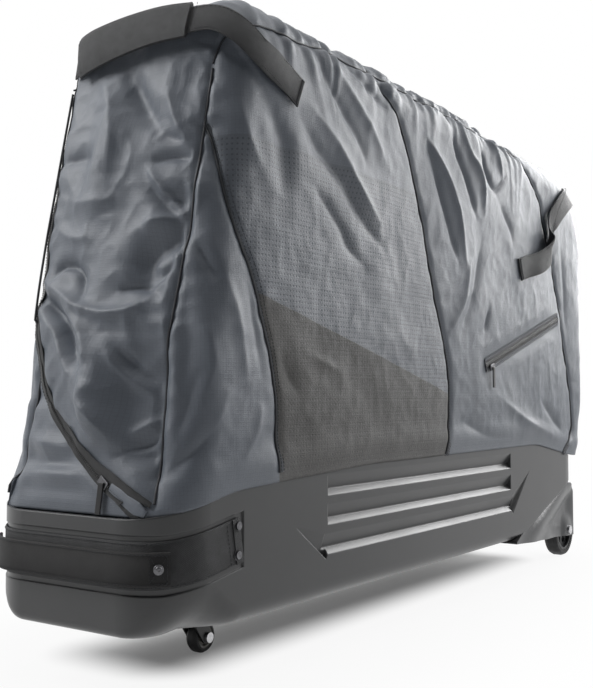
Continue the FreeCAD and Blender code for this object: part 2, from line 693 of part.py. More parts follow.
def make_tub(rim, bolt_holes):
    outer = hull_form("tub_outer", "0", "tub_floor")
    inner = hull_form("tub_inner", "tub_wall", "tub_floor + tub_wall")
    near_wall = box(
        "louvre_wall_near",
        (nose("pad_front"), nose("pad_rear")),
        ("0 - tub_half", "pad_wall - tub_half"),
        ("pad_low", "limit"),
    )
    far_wall = mirrored("louvre_wall_far", near_wall)
    room = cut("tub_room", inner, ramp_wedge("room_ramp", "ramp_wall"), near_wall, far_wall)
    shell = cut("tub_shell", outer, room, ramp_wedge("stern_ramp", "0"))
    louvres = [louvre("louvre_lowest", "louvre_low", "wing_front", "wing_rear")]
    for i in (1, 2):
        ledge = f"louvre_low + {i} * louvre_pitch"
        louvres.append(louvre(f"louvre{i}", ledge, "louvre_front", "louvre_rear"))
    louvres.append(wing("wing_at_front", "wing_front", "wing_front_run", "wing_front_rise", -1))
    louvres.append(wing("wing_at_rear", "wing_rear", "wing_rear_run", "wing_rear_rise", 1))
    near = fuse("louvres_near", *louvres)
    far = mirrored("louvres_far", near)
    skin = cut(
        "belt_skin",
        prism("belt_skin_outer", "XY", hull_plan("0 - overshoot"), "tub_floor", "rim_rear"),
        prism("belt_skin_inner", "XY", hull_plan("belt_recess"), "tub_floor", "rim_rear"),
    )
    recess = common("belt_recess_ring", skin, belt_area("belt_recess_area", "belt_recess_edge"))
    grooved = cut("tub_grooved", shell, near, far, recess, *bolt_holes)
    keep(common("tub_piece", grooved, rim), "tub")


# Cover

def cover_form(name, inset):
    """The cover's outer form, drawn in by inset: the side profile, with its long edges rounded."""
    profile = [
        (nose(f"front_foot_x + ( {inset} )"), f"cover_foot - foot_step * ( {inset} )"),
        (nose(f"rear_foot_x - ( {inset} )"), f"cover_foot - foot_step * ( {inset} )"),
        (nose(f"rear_x - ( {inset} )"), "rear_tuck", "rear_tuck_round"),
        (nose(f"rear_x - ( {inset} )"), f"top_rear - ( {inset} )", f"top_rear_round - ( {inset} )"),
        (nose("top_bend_x"), f"top_bend - ( {inset} )", "top_bend_round"),
        (nose(f"top_front_x + ( {inset} )"), f"top_front - ( {inset} )", f"top_front_round - ( {inset} )"),
        (nose(f"front_waist_x + ( {inset} )"), "front_waist", "front_bend"),
    ]
    side = f"cover_half - ( {inset} )"
    block = prism(f"{name}_block", "XZ", profile, minus(side), side)
    side_y = value(side)
    foot = value(profile[0][1])
    radius = value("cover_round") - value(inset)

    def radii(edge):
        ends = [vertex.Point for vertex in edge.Vertexes]
        on_side = all(abs(abs(end.y) - side_y) < 0.01 for end in ends)
        on_foot = all(abs(end.z - foot) < 0.01 for end in ends)
        across = abs(ends[0].y - ends[-1].y) > 1
        return (radius, radius) if on_side and not on_foot and not across else None

    return rounded(name, block, radii)


def zip_area(name, moved):
    """Everything on the flap's side of the zip line, which may be moved out towards the far side."""
    drop = f"zip_drop * ( {moved} )"
    return prism(
        name,
        "YZ",
        [
            ("0 - limit", "0 - limit"),
            (f"zip_start_y + ( {moved} )", f"zip_start_z - {drop}"),
            (f"zip_low_y + ( {moved} )", f"zip_low_z - {drop}", "zip_round"),
            (f"zip_mid_y + ( {moved} )", f"zip_mid_z - {drop}", "zip_round"),
            (f"zip_edge_y + ( {moved} )", f"zip_edge_z - {drop}", "zip_round"),
            (f"zip_edge_y + ( {moved} )", "limit"),
            ("0 - limit", "limit"),
        ],
        *ACROSS,
    )


def slab(name, axis, low, high):
    """A block that keeps only what lies between low and high along one axis."""
    pair = {letter: ACROSS for letter in "xyz"}
    pair[axis] = (low, high)
    return box(name, pair["x"], pair["y"], pair["z"])


def seam_areas():
    """Side views of the panels ahead of the first seam, behind the second and behind the third."""
    front = [
        (nose("0 - limit"), "seam_foot_z"),
        (nose("seam1_foot_x"), "seam_foot_z"),
        (nose("seam1_low_x"), "seam1_low_z", "seam1_round"),
        (nose("seam1_top_x"), "seam1_top_z"),
        (nose("0 - limit"), "seam1_top_z"),
    ]
    areas = {"front": prism("front_area", "XZ", front, *ACROSS)}
    for key, seam in (("rear", "seam2"), ("tail", "seam3")):
        behind = [
            (nose("rear_x + limit"), "seam_foot_z"),
            (nose("rear_x + limit"), "limit"),
            (nose(f"{seam}_top_x"), "limit"),
            (nose(f"{seam}_edge_x"), f"{seam}_edge_z", "seam_edge_round"),
            (nose(f"{seam}_knee_x"), f"{seam}_knee_z", "seam_knee_round"),
            (nose(f"{seam}_low_x"), f"{seam}_low_z", "seam_low_round"),
            (nose(f"{seam}_foot_x"), "seam_foot_z"),
        ]
        areas[key] = prism(f"{key}_area", "XZ", behind, *ACROSS)
    return areas


def side_panels(side, cloth, areas):
    """Front, middle, rear and tail panels of one side."""
    keep(common(f"{side}_front_cloth", cloth, areas["front"]), f"{side}_front_panel")
    keep(common(f"{side}_tail_cloth", cloth, areas["tail"]), f"{side}_tail_panel")
    behind = common(f"{side}_behind", cloth, areas["rear"])
    keep(cut(f"{side}_rear_cloth", behind, areas["tail"]), f"{side}_rear_panel")
    keep(cut(f"{side}_middle_cloth", cloth, areas["front"], areas["rear"]), f"{side}_middle_panel")


def make_cover(rim):
    whole = cut("cover_whole", cover_form("cover_outer", "0"), cover_form("cover_inner", "cloth"))
    shell = cut("cover_shell", whole, rim)
    areas = seam_areas()
    above_fold = slab("above_fold", "z", "hinge_z + hinge_gap", "limit")
    near_zone = slab("near_zone", "y", "0 - limit", minus("seam_y"))
    far_edge = f"zip_edge_y + {ZIP_WIDTH}"
    middle_zone = slab("middle_zone", "y", minus("seam_y"), far_edge)
    far_zone = slab("far_zone", "y", far_edge, "limit")

    flap = common("flap_cloth", shell, zip_area("flap_area", "0"), above_fold)
    side_panels("near", common("near_cloth", flap, near_zone), areas)
    strip = common("flap_strip", flap, middle_zone)
    front_end = slab("front_end", "x", "0 - limit", nose("front_top_seam"))
    top_part = slab("top_part", "x", nose("front_top_seam"), nose("top_rear_seam"))
    rear_end = slab("rear_end", "x", nose("top_rear_seam"), "limit")
    keep(common("front_cloth", strip, front_end), "front_end_panel")
    keep(common("top_cloth", strip, top_part), "top_gusset")
    keep(common("rear_cloth", strip, rear_end), "rear_end_panel")

    opening = common(
        "cover_opening",
        zip_area("opening_area", ZIP_WIDTH),
        slab("above_skirt", "z", "hinge_z - hinge_gap", "limit"),
    )
    fixed = cut("fixed_cloth", shell, opening)
    side_panels("far", common("far_cloth", fixed, far_zone), areas)
    keep(common("skirt_cloth", fixed, near_zone), "near_skirt")
    lower = common("gusset_cloth", fixed, middle_zone)
    keep(common("front_gusset_cloth", lower, front_end), "front_gusset")
    keep(common("rear_gusset_cloth", lower, rear_end), "rear_gusset")

    flap_row = cut("flap_row", zip_area("flap_row_out", "zip_row"), zip_area("flap_row_in", "0"))
    fixed_row = cut(
        "fixed_row",
        zip_area("fixed_row_out", ZIP_WIDTH),
        zip_area("fixed_row_in", "zip_row + zip_gap"),
    )
    keep(common("flap_teeth", shell, flap_row, above_fold), "main_zip_teeth_flap")
    keep(common("fixed_teeth", shell, fixed_row, above_fold), "main_zip_teeth_fixed")


# Webbing

def band(name, start, end, width):
    """A straight strip between two points seen from the side, drawn out across the case."""
    (x0, z0), (x1, z1) = start, end
    run = value(x1) - value(x0)
    climb = value(z1) - value(z0)
    length = math.hypot(run, climb)
    solid = doc.addObject("Part::Box", name)
    bind(solid, "Length", f"sqrt ( ( {x1} - ( {x0} ) ) ^ 2 + ( {z1} - ( {z0} ) ) ^ 2 )")
    bind(solid, "Width", "2 * limit")
    bind(solid, "Height", width)
    turn = Rotation(Vector(0, 1, 0), -math.degrees(math.atan2(climb, run)))
    half = value(width) / 2
    side = Vector(climb / length * half, 0, -run / length * half)
    solid.Placement = Placement(Vector(value(x0), -value("limit"), value(z0)) + side, turn)
    return solid


def make_belt(screw_holes):
    outer = prism("belt_outer", "XY", hull_plan("belt_recess - belt_thick"), "tub_floor", "rim_rear")
    inner = prism("belt_inner", "XY", hull_plan("belt_recess"), "0", "limit")
    whole = common("belt_whole", cut("belt_ring", outer, inner), belt_area("belt_band", "0"))
    keep(cut("belt_piece", whole, *screw_holes), "front_belt")

    low = "belt_front_z - grab_wide / 2"
    high = "belt_front_z + grab_wide / 2"
    face = "belt_recess - belt_thick"
    tall = ("0", "limit")
    grab_outer = prism("grab_outer", "XY", hull_plan(f"{face} - grab_thick", "grab_gap"), low, high)
    grab_inner = prism("grab_inner", "XY", hull_plan(face, "grab_gap"), *tall)
    belt_face = prism("grab_seat", "XY", hull_plan(face), *tall)
    front = slab("grab_front", "x", "0 - limit", nose("grab_end"))
    ends = slab("grab_ends", "x", nose("grab_pad"), nose("grab_end"))
    loop = common("grab_loop", cut("grab_ring", grab_outer, grab_inner), front)
    pads = common("grab_pads", cut("grab_pad_ring", grab_outer, belt_face), ends)
    keep(fuse("grab_piece", loop, pads), "front_grab_handle")


def make_handles():
    seat = cover_form("web_seat", minus("web_clear"))
    web = cut("web_layer", cover_form("web_outer", minus("web_thick + web_clear")), seat)
    near_side = slab("near_web_zone", "y", "0 - limit", "grip_half")
    far_side = slab("far_web_zone", "y", f"zip_edge_y + {ZIP_WIDTH}", "limit")
    lift_line = ((nose("lift_end_x"), "lift_end_z"), (nose("lift_top_x"), "lift_top_z"))
    rear_line = ((nose("rear_web_x"), "rear_web_z"), (nose("rear_top_x"), "rear_top_z"))
    for handle, line in (("lift", lift_line), ("rear", rear_line)):
        strap = common(f"{handle}_web", web, band(f"{handle}_band", *line, "lift_wide"))
        keep(common(f"{handle}_web_near", strap, near_side), f"{handle}_strap_near")
        keep(common(f"{handle}_web_far", strap, far_side), f"{handle}_strap_far")
    sleeve_seat = cover_form("sleeve_seat", minus("web_thick + 2 * web_clear"))
    sleeve = cut("sleeve_layer", cover_form("sleeve_outer", minus("grip_thick")), sleeve_seat)
    sleeve_band = band("sleeve_band", *lift_line, "grip_wide")
    middle = slab("sleeve_zone", "y", minus("grip_half"), "grip_half")
    keep(common("sleeve_piece", sleeve, sleeve_band, middle), "lift_grip")


# Zip sliders

def slider_pair(prefix, at, turn, lean):
    """A slider that leans along its zip, and the puller that hangs on it; their local Y points out."""
    body = box(
        f"{prefix}_slider_body",
        ("0 - slider_long / 2", "slider_long / 2"),
        ("slider_clear", "slider_clear + slider_thick"),
        ("0 - slider_wide / 2", "slider_wide / 2"),
    )
    soft = rounded(f"{prefix}_slider_soft", body, even("slider_soft"))
    leaning = turn * Rotation(Vector(0, 1, 0), -lean)
    keep(placed(f"{prefix}_slider_piece", soft, at, leaning), f"{prefix}_slider")
    out = "slider_clear + slider_thick + puller_clear"
    tag = box(
        f"{prefix}_puller_tag",
        ("0 - puller_wide / 2", "puller_wide / 2"),
        (out, f"{out} + puller_thick"),
        ("0 - puller_long", "0"),
    )
    tag_soft = rounded(f"{prefix}_puller_soft", tag, even("puller_soft"))
    keep(placed(f"{prefix}_puller_piece", tag_soft, at, turn), f"{prefix}_puller")


def make_pocket():
    start = (nose("pocket_front"), minus("cover_half"), "pocket_front_z")
    tilt = value("pocket_tilt")
    along_zip = Rotation(Vector(0, 1, 0), -tilt)
    tape = box(
        "pocket_tape_bar",
        ("0", "pocket_long"),
        ("0 - tape_thick - web_clear", "0 - web_clear"),
        ("0 - pocket_wide / 2", "pocket_wide / 2"),
    )
    keep(placed("pocket_tape_piece", tape, start, along_zip), "pocket_zip_tape")
    pouch = box(
        "pouch_sheet",
        ("pouch_inset", "pocket_long - pouch_inset"),
        ("cloth + pouch_clear", "cloth + pouch_clear + pouch_thick"),
        ("0 - pouch_deep", "pouch_inset"),
    )
    keep(placed("pouch_piece", pouch, start, along_zip), "pocket_pouch")
    parked = (
        f"{start[0]} + slider_long * {math.cos(math.radians(tilt))}",
        f"{start[1]} - tape_thick - web_clear",
        f"{start[2]} + slider_long * {math.sin(math.radians(tilt))}",
    )
    slider_pair("pocket", parked, Rotation(Vector(0, 0, 1), 180), -tilt)


def make_main_slider():
    slant = "( front_waist_x - front_foot_x ) / ( front_waist - cover_foot )"
    face_x = f"{nose('front_foot_x')} + {slant} * ( slider_z - cover_foot )"
    lean = Rotation(Vector(0, 1, 0), math.degrees(math.atan(value(slant))))
    face_front = Rotation(Vector(0, 0, 1), 90)
    slope = math.atan2(value("zip_mid_z - zip_low_z"), value("zip_mid_y - zip_low_y"))
    slider_pair("main", (face_x, "slider_y", "slider_z"), lean * face_front, math.degrees(slope))


# Wheels

def tyre_profile(radius, half, core):
    """Half section of a tyre, as (distance along the axle, radius)."""
    return [
        (minus(half), core),
        (half, core),
        (half, f"{radius} - tread_drop", "shoulder_round"),
        (f"{half} * tread_part", radius, "tread_round"),
        (f"0 - {half} * tread_part", radius, "tread_round"),
        (minus(half), f"{radius} - tread_drop", "shoulder_round"),
    ]


def core_profile(half, core, rim, hub, bore):
    """Half section of a wheel's core: a disc between a thick hub and a thick rim."""
    web = f"{half} * web_part"
    end = f"{half} - core_inset"
    right = [(end, bore), (end, hub), (web, hub), (web, rim), (end, rim), (end, core)]
    left = [(minus(along), radius) for along, radius in reversed(right)]
    return right + left


def make_caster(bolt_spots):
    swivel = nose("caster_x")
    axle = nose("caster_x + caster_trail")
    axle_line = (axle, "caster_r")
    plate_low = "tub_floor - plate_thick"
    through = ("0", "limit")
    plate = box(
        "plate_blank",
        (f"{swivel} - plate_long / 2", f"{swivel} + plate_long / 2"),
        ("0 - plate_wide / 2", "plate_wide / 2"),
        (plate_low, "tub_floor"),
    )
    drill_r = "bolt_r + bolt_clear"
    drills = [rod(f"plate_drill{i}", "Z", drill_r, spot, *through) for i, spot in enumerate(bolt_spots)]
    drills.append(rod("plate_bore", "Z", "swivel_bore", (swivel, "0"), *through))
    race = turned(
        "race_ring",
        "Z",
        (swivel, "0", plate_low),
        [
            ("0 - race_high", "swivel_bore"),
            ("0", "swivel_bore"),
            ("0", "race_top_r"),
            ("0 - race_high", "race_low_r"),
        ],
    )
    keep(fuse("plate_piece", cut("plate_drilled", plate, *drills), race), "caster_plate")

    head_low = f"{plate_low} - bolt_head_thick"
    bolts = []
    for i, spot in enumerate(bolt_spots):
        shank = rod(f"plate_shank{i}", "Z", "bolt_r", spot, head_low, "tub_floor + tub_wall")
        head = rod(f"plate_head{i}", "Z", "bolt_head_r", spot, head_low, plate_low)
        bolts.append(fuse(f"plate_bolt{i}", shank, head))
    keep(group("plate_bolts", *bolts), "caster_bolts")

    crown_top = f"{plate_low} - race_high - swivel_gap"
    crown_low = f"{crown_top} - fork_thick"
    crown = rod("fork_crown", "Z", "crown_r", (swivel, "0"), crown_low, crown_top)
    pin_r = "swivel_bore - skewer_clear"
    pin = rod("fork_pin", "Z", pin_r, (swivel, "0"), crown_low, "tub_floor - swivel_gap")
    leg_in = "caster_wide / 2 + fork_side"
    leg_out = f"{leg_in} + fork_thick"
    leg_shape = [
        (f"{swivel} - leg_half", crown_top),
        (f"{swivel} - leg_half", f"{crown_top} - leg_root"),
        (f"{axle} - leg_tip", "caster_r - leg_tip", "leg_round"),
        (f"{axle} + leg_tip", "caster_r - leg_tip", "leg_round"),
        (f"{swivel} + leg_half", crown_top),
    ]
    leg = prism("fork_leg_near", "XZ", leg_shape, minus(leg_out), minus(leg_in))
    far_leg = mirrored("fork_leg_far", leg)
    bridge = box(
        "fork_bridge",
        (f"{swivel} - leg_half", f"{swivel} + leg_half"),
        (minus(leg_out), leg_out),
        (crown_low, crown_top),
    )
    eye = rod("fork_eye", "Y", "caster_axle + press_clear", axle_line, *ACROSS)
    body = fuse("fork_body", crown, bridge, leg, far_leg, pin)
    keep(cut("fork_piece", body, eye), "caster_fork")

    nut_end = minus(f"{leg_out} + axle_head")
    shank = rod("caster_shank", "Y", "caster_axle", axle_line, nut_end, leg_out)
    head = rod("caster_head", "Y", "axle_head_r", axle_line, leg_out, f"{leg_out} + axle_head")
    nut = rod("caster_nut", "Y", "axle_head_r", axle_line, nut_end, minus(leg_out))
    keep(fuse("caster_axle_piece", shank, head, nut), "caster_axle_bolt")

    centre = (axle, "0", "caster_r")
    half = "caster_wide / 2"
    core = "caster_r - caster_tread"
    bore = "caster_axle + skewer_clear"
    keep(turned("caster_tyre_ring", "Y", centre, tyre_profile("caster_r", half, core)), "caster_tyre")
    disc = core_profile(half, core, f"{core} - caster_rim", f"{bore} + caster_hub", bore)
    keep(turned("caster_core_disc", "Y", centre, disc), "caster_core")


def housing_plan():
    """Plan of the near wheel housing, which draws in towards the wheel."""
    return prism(
        "housing_plan",
        "XY",
        [
            (nose("housing_front_x"), minus("housing_front_y")),
            (nose("housing_knee_x"), minus("cheek_y"), "cheek_round"),
            (nose("housing_rear"), minus("cheek_end_y"), "cheek_end_round"),
            (nose("housing_rear"), minus("housing_inner_y")),
            (nose("housing_front_x"), minus("housing_inner_y")),
        ],
        "0",
        "limit",
    )


def ramp_height(from_nose):
    """Height of the stern's slope at a distance from the nose."""
    return f"tub_floor + ramp_rise * ( {from_nose} - ramp_start )"


def make_housings(axle_x):
    plan = housing_plan()
    tip_x = nose("housing_front_x")
    flat_x = nose("housing_flat_x")
    tip_z = ramp_height("housing_front_x")
    flat_z = ramp_height("housing_flat_x")
    side = prism(
        "housing_side",
        "XZ",
        [
            (tip_x, f"{tip_z} - gasket_thick - housing_tip"),
            (nose("housing_knee_x"), "housing_knee_z", "housing_knee_round"),
            (nose("housing_rear"), "housing_low", "housing_low_round"),
            (nose("housing_rear"), "housing_back_z", "housing_back_round"),
            (nose("housing_crown_x"), "housing_crown_z", "housing_crown_round"),
            (flat_x, f"{flat_z} - gasket_thick"),
            (tip_x, f"{tip_z} - gasket_thick"),
        ],
        *ACROSS,
    )
    half = "( wheel_wide / 2 + well_side )"
    well_y = (minus(f"wheel_y + {half}"), minus(f"wheel_y - {half}"))
    well = rod("wheel_well", "Y", "wheel_r + well_clear", (axle_x, "wheel_r"), *well_y)
    past_rear = nose("housing_rear + overshoot")
    drop = box("wheel_drop", (f"{axle_x} - wheel_r - well_clear", past_rear), well_y, ("0", "wheel_r"))
    back = box("wheel_back", (axle_x, past_rear), well_y, ("0", "wheel_r + well_back"))
    eye = rod("axle_eye", "Y", "wheel_axle + press_clear", (axle_x, "wheel_r"), *ACROSS)
    near = cut("housing_near", common("housing_block", side, plan), well, drop, back, eye)
    keep(near, "wheel_housing_near")
    keep(mirrored("housing_far", near), "wheel_housing_far")

    strip = prism(
        "gasket_strip",
        "XZ",
        [
            (tip_x, f"{tip_z} - gasket_thick"),
            (flat_x, f"{flat_z} - gasket_thick"),
            (flat_x, flat_z),
            (tip_x, tip_z),
        ],
        *ACROSS,
    )
    gasket = common("gasket_near", strip, plan)
    keep(gasket, "housing_gasket_near")
    keep(mirrored("gasket_far", gasket), "housing_gasket_far")


def make_rear_wheels():
    axle_x = nose("wheel_x")
    axle_line = (axle_x, "wheel_r")
    make_housings(axle_x)
    inner = minus("housing_inner_y")
    inner_end = minus("housing_inner_y - wheel_bolt_head")
    face = minus("axle_face_y")
    face_end = minus("axle_face_y + wheel_bolt_head")
    shank = rod("axle_shank", "Y", "wheel_axle", axle_line, face, inner_end)
    head = rod("axle_head", "Y", "wheel_bolt_r", axle_line, face_end, face)
    nut = rod("axle_nut", "Y", "wheel_bolt_r", axle_line, inner, inner_end)
    bolt = fuse("axle_bolt_near", shank, head, nut)
    keep(bolt, "rear_axle_near")
    keep(mirrored("axle_bolt_far", bolt), "rear_axle_far")

    centre = (axle_x, minus("wheel_y"), "wheel_r")
    half = "wheel_wide / 2"
    core = "wheel_r - wheel_tread"
    bore = "wheel_axle + skewer_clear"
    tyre = turned("rear_tyre_ring", "Y", centre, tyre_profile("wheel_r", half, core))
    disc = turned(
        "rear_core_disc",
        "Y",
        centre,
        core_profile(half, core, f"{core} - wheel_rim", f"{bore} + wheel_hub", bore),
    )
    holes = []
    for i in range(SPOKES):
        angle = 2 * math.pi * i / SPOKES
        spot = (
            f"{axle_x} + spoke_circle * ( {math.cos(angle):.6f} )",
            f"wheel_r + spoke_circle * ( {math.sin(angle):.6f} )",
        )
        holes.append(rod(f"spoke_hole{i}", "Y", "spoke_hole_r", spot, *ACROSS))
    spoked = cut("rear_core_spoked", disc, *holes)
    keep(tyre, "rear_wheel_near_tyre")
    keep(spoked, "rear_wheel_near_core")
    keep(mirrored("rear_tyre_far", tyre), "rear_wheel_far_tyre")
    keep(mirrored("rear_core_far", spoked), "rear_wheel_far_core")


# Inside

def make_hoop(name, from_nose, cover_top):
    """A bent rod that holds the cover up, and the two sockets that hold its ends."""
    x = nose(from_nose)
    crest = f"{cover_top} - hoop_drop"
    bend_y = "hoop_y - hoop_round"
    bend_z = f"{crest} - hoop_round"
    near_leg = rod(f"{name}_leg_near", "Z", "hoop_r", (x, minus("hoop_y")), "hoop_foot", bend_z)
    far_leg = mirrored(f"{name}_leg_far", near_leg)
    bar = rod(f"{name}_bar", "Y", "hoop_r", (x, crest), minus(bend_y), bend_y)
    far_elbow = doc.addObject("Part::Torus", f"{name}_elbow_far")
    far_elbow.Placement = PLANES["YZ"]
    far_elbow.Angle3 = 90
    bind(far_elbow, "Radius1", "hoop_round")
    bind(far_elbow, "Radius2", "hoop_r")
    for letter, text in zip("xyz", (x, bend_y, bend_z)):
        bind(far_elbow, f"Placement.Base.{letter}", text)
    near_elbow = mirrored(f"{name}_elbow_near", far_elbow)
    keep(fuse(f"{name}_hoop", near_leg, near_elbow, bar, far_elbow, far_leg), f"hoop_{name}")

    low = "hoop_foot - socket_floor"
    block = box(
        f"{name}_socket_block",
        (f"{x} - socket_long / 2", f"{x} + socket_long / 2"),
        (minus("tub_half - pad_wall"), minus("hoop_y - socket_half")),
        (low, f"{low} + socket_high"),
    )
    bore = rod(f"{name}_socket_bore", "Z", "hoop_r + bolt_clear", (x, minus("hoop_y")), "hoop_foot", "limit")
    near = cut(f"{name}_socket_near", block, bore)
    far = mirrored(f"{name}_socket_far", near)
    keep(group(f"{name}_sockets", near, far), f"hoop_sockets_{name}")


def make_rail(pad_top, rail_top):
    inner_half = "rail_half - rail_wall"
    whole = (nose("rail_start"), nose("rail_end"))
    beyond = (nose("rail_start - overshoot"), nose("rail_end + overshoot"))
    bar = box("rail_bar", whole, (minus("rail_half"), "rail_half"), (pad_top, rail_top))
    hollow_z = (f"{pad_top} + rail_wall", f"{rail_top} - rail_wall")
    hollow = box("rail_hollow", beyond, (minus(inner_half), inner_half), hollow_z)
    slot_z = (f"{pad_top} + rail_wall", f"{rail_top} + overshoot")
    slot = box("rail_slot", beyond, (minus("rail_slot_half"), "rail_slot_half"), slot_z)
    keep(cut("rail_piece", bar, hollow, slot), "base_rail")


def make_fork_mount(rail_top):
    x = nose("mount_x")
    axle_line = (x, "mount_z")
    post = box(
        "post_block",
        (f"{x} - mount_thick / 2", f"{x} + mount_thick / 2"),
        (minus("mount_half"), "mount_half"),
        (rail_top, "mount_z + mount_cap"),
    )
    waist = box(
        "post_waist",
        (f"{x} - mount_thick", f"{x} + mount_thick"),
        (minus("mount_half - mount_cheek"), "mount_half - mount_cheek"),
        (f"{rail_top} + mount_foot", "limit"),
    )
    eye = rod("post_eye", "Y", "skewer_r + skewer_clear", axle_line, *ACROSS)
    keep(cut("post_piece", post, waist, eye), "fork_mount")

    pin = rod("skewer_pin", "Y", "skewer_r", axle_line, minus("skewer_half"), "skewer_half")
    nut_start = "skewer_half - skewer_nut_long"
    nut = rod("skewer_nut", "Y", "skewer_nut_r", axle_line, nut_start, "skewer_half")
    keep(fuse("skewer_piece", pin, nut), "fork_skewer")

    end = minus("skewer_half + lever_gap")
    arm = box(
        "lever_arm",
        (f"{x} - lever_half", f"{x} + lever_half"),
        (f"{end} - lever_thick", end),
        ("mount_z - lever_long", "mount_z + lever_thick / 2"),
    )
    keep(rounded("lever_piece", arm, even("lever_soft")), "skewer_lever")


def make_cradle(pad_top, rail_top):
    x = nose("cradle_x")
    across = (minus("cradle_half"), "cradle_half")
    foot = f"{rail_top} + cradle_gap"
    top = f"{foot} + cradle_high"
    seat_line = (x, f"{top} + cradle_seat_rise")
    along = (f"{x} - cradle_long / 2", f"{x} + cradle_long / 2")
    body = box("cradle_block", along, across, (foot, top))
    seat = rod("cradle_seat", "Y", "cradle_seat_r", seat_line, *ACROSS)
    shoe_x = (f"{x} - shoe_half", f"{x} + shoe_half")
    shoe_top = f"{rail_top} - rail_wall - shoe_gap"
    tongue_half = "rail_slot_half - cradle_gap"
    tongue = box("cradle_tongue", shoe_x, (minus(tongue_half), tongue_half), (shoe_top, foot))
    shoe_y = "rail_half - rail_wall - shoe_gap"
    shoe_low = f"{pad_top} + rail_wall + shoe_gap"
    shoe = box("cradle_shoe", shoe_x, (minus(shoe_y), shoe_y), (shoe_low, shoe_top))
    keep(fuse("cradle_piece", cut("cradle_top", body, seat), tongue, shoe), "frame_cradle")

    lining = rod("lining_round", "Y", "cradle_seat_r", seat_line, *across)
    lining_hole = rod("lining_hole", "Y", "cradle_seat_r - cradle_lining", seat_line, *ACROSS)
    below = slab("lining_zone", "z", "0", top)
    keep(common("lining_piece", cut("lining_ring", lining, lining_hole), below), "cradle_pad")


def make_interior():
    for i, (name, cover_top) in enumerate(HOOPS):
        make_hoop(name, f"hoop_front + {i} * hoop_pitch", cover_top)
    bed = "tub_floor + tub_wall"
    pad_top = f"{bed} + pad_thick"
    rail_top = f"{pad_top} + rail_high"
    pad = prism(
        "pad_sheet",
        "XY",
        [
            (nose("pad_start"), minus("pad_half"), "pad_front_round"),
            (nose("pad_end"), minus("pad_half"), "pad_rear_round"),
            (nose("pad_end"), "pad_half", "pad_rear_round"),
            (nose("pad_start"), "pad_half", "pad_front_round"),
        ],
        bed,
        pad_top,
    )
    keep(pad, "floor_pad")
    make_rail(pad_top, rail_top)
    make_fork_mount(rail_top)
    make_cradle(pad_top, rail_top)


# Fasteners that pass through the tub

def make_belt_screws():
    """The belt's screws, and the rods that drill their holes."""
    screws = []
    holes = []
    face = "tub_half + belt_thick - belt_recess"
    washer_y = minus(f"{face} + washer_thick")
    head_y = minus(f"{face} + washer_thick + bolt_head_thick")
    wall_y = minus("tub_half - tub_wall")
    nut_y = minus("tub_half - tub_wall - nut_thick")
    for i, sign in enumerate((-1, 1)):
        spot = (nose("belt_screw_x"), f"belt_end_z + {sign} * belt_screw_pitch / 2")
        holes.append(rod(f"belt_hole{i}", "Y", "bolt_r + bolt_clear", spot, *ACROSS))
        shank = rod(f"belt_shank{i}", "Y", "bolt_r", spot, washer_y, nut_y)
        washer = rod(f"belt_washer{i}", "Y", "bolt_head_r + washer_extra", spot, washer_y, minus(face))
        head = rod(f"belt_head{i}", "Y", "bolt_head_r", spot, head_y, washer_y)
        nut = rod(f"belt_nut{i}", "Y", "bolt_head_r", spot, wall_y, nut_y)
        screw = fuse(f"belt_screw_near{i}", shank, washer, head, nut)
        screws += [screw, mirrored(f"belt_screw_far{i}", screw)]
    keep(group("belt_screw_set", *screws), "belt_screws")
    return holes


def caster_bolt_spots():
    return [
        (f"{nose('caster_x')} + {i} * plate_pitch_x / 2", f"{j} * plate_pitch_y / 2")
        for i in (-1, 1)
        for j in (-1, 1)
    ]


def check_and_write():
    """Stop on any failed object or sub-part, then write one file for each sub-part."""
    doc.recompute()
    failed = [item.Name for item in doc.Objects if {"Invalid", "Error"} & set(item.State)]
    if failed:
        raise RuntimeError(f"failed objects: {failed}")
    for label, item in NODES.items():
        shape = item.Shape
        if shape.isNull() or not shape.isValid() or not shape.Solids:
            raise RuntimeError(f"{label} has no sound solid")
    os.makedirs("parts", exist_ok=True)
    for label, item in NODES.items():
        item.Shape.exportStep(f"parts/{label}.step")


def main():
    rim = rim_area()
    holes = make_belt_screws()
    spots = caster_bolt_spots()
    drill_r = "bolt_r + bolt_clear"
    floor_holes = [rod(f"floor_hole{i}", "Z", drill_r, spot, "0", "pad_low") for i, spot in enumerate(spots)]
    make_tub(rim, holes + floor_holes)
    make_cover(rim)
    make_belt(holes)
    make_handles()
    make_pocket()
    make_main_slider()
    make_caster(spots)
    make_rear_wheels()
    make_interior()
    check_and_write()


main()
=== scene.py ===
import math

import bmesh
import bpy
import numpy as np
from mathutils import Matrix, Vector, noise
from mathutils.bvhtree import BVHTree


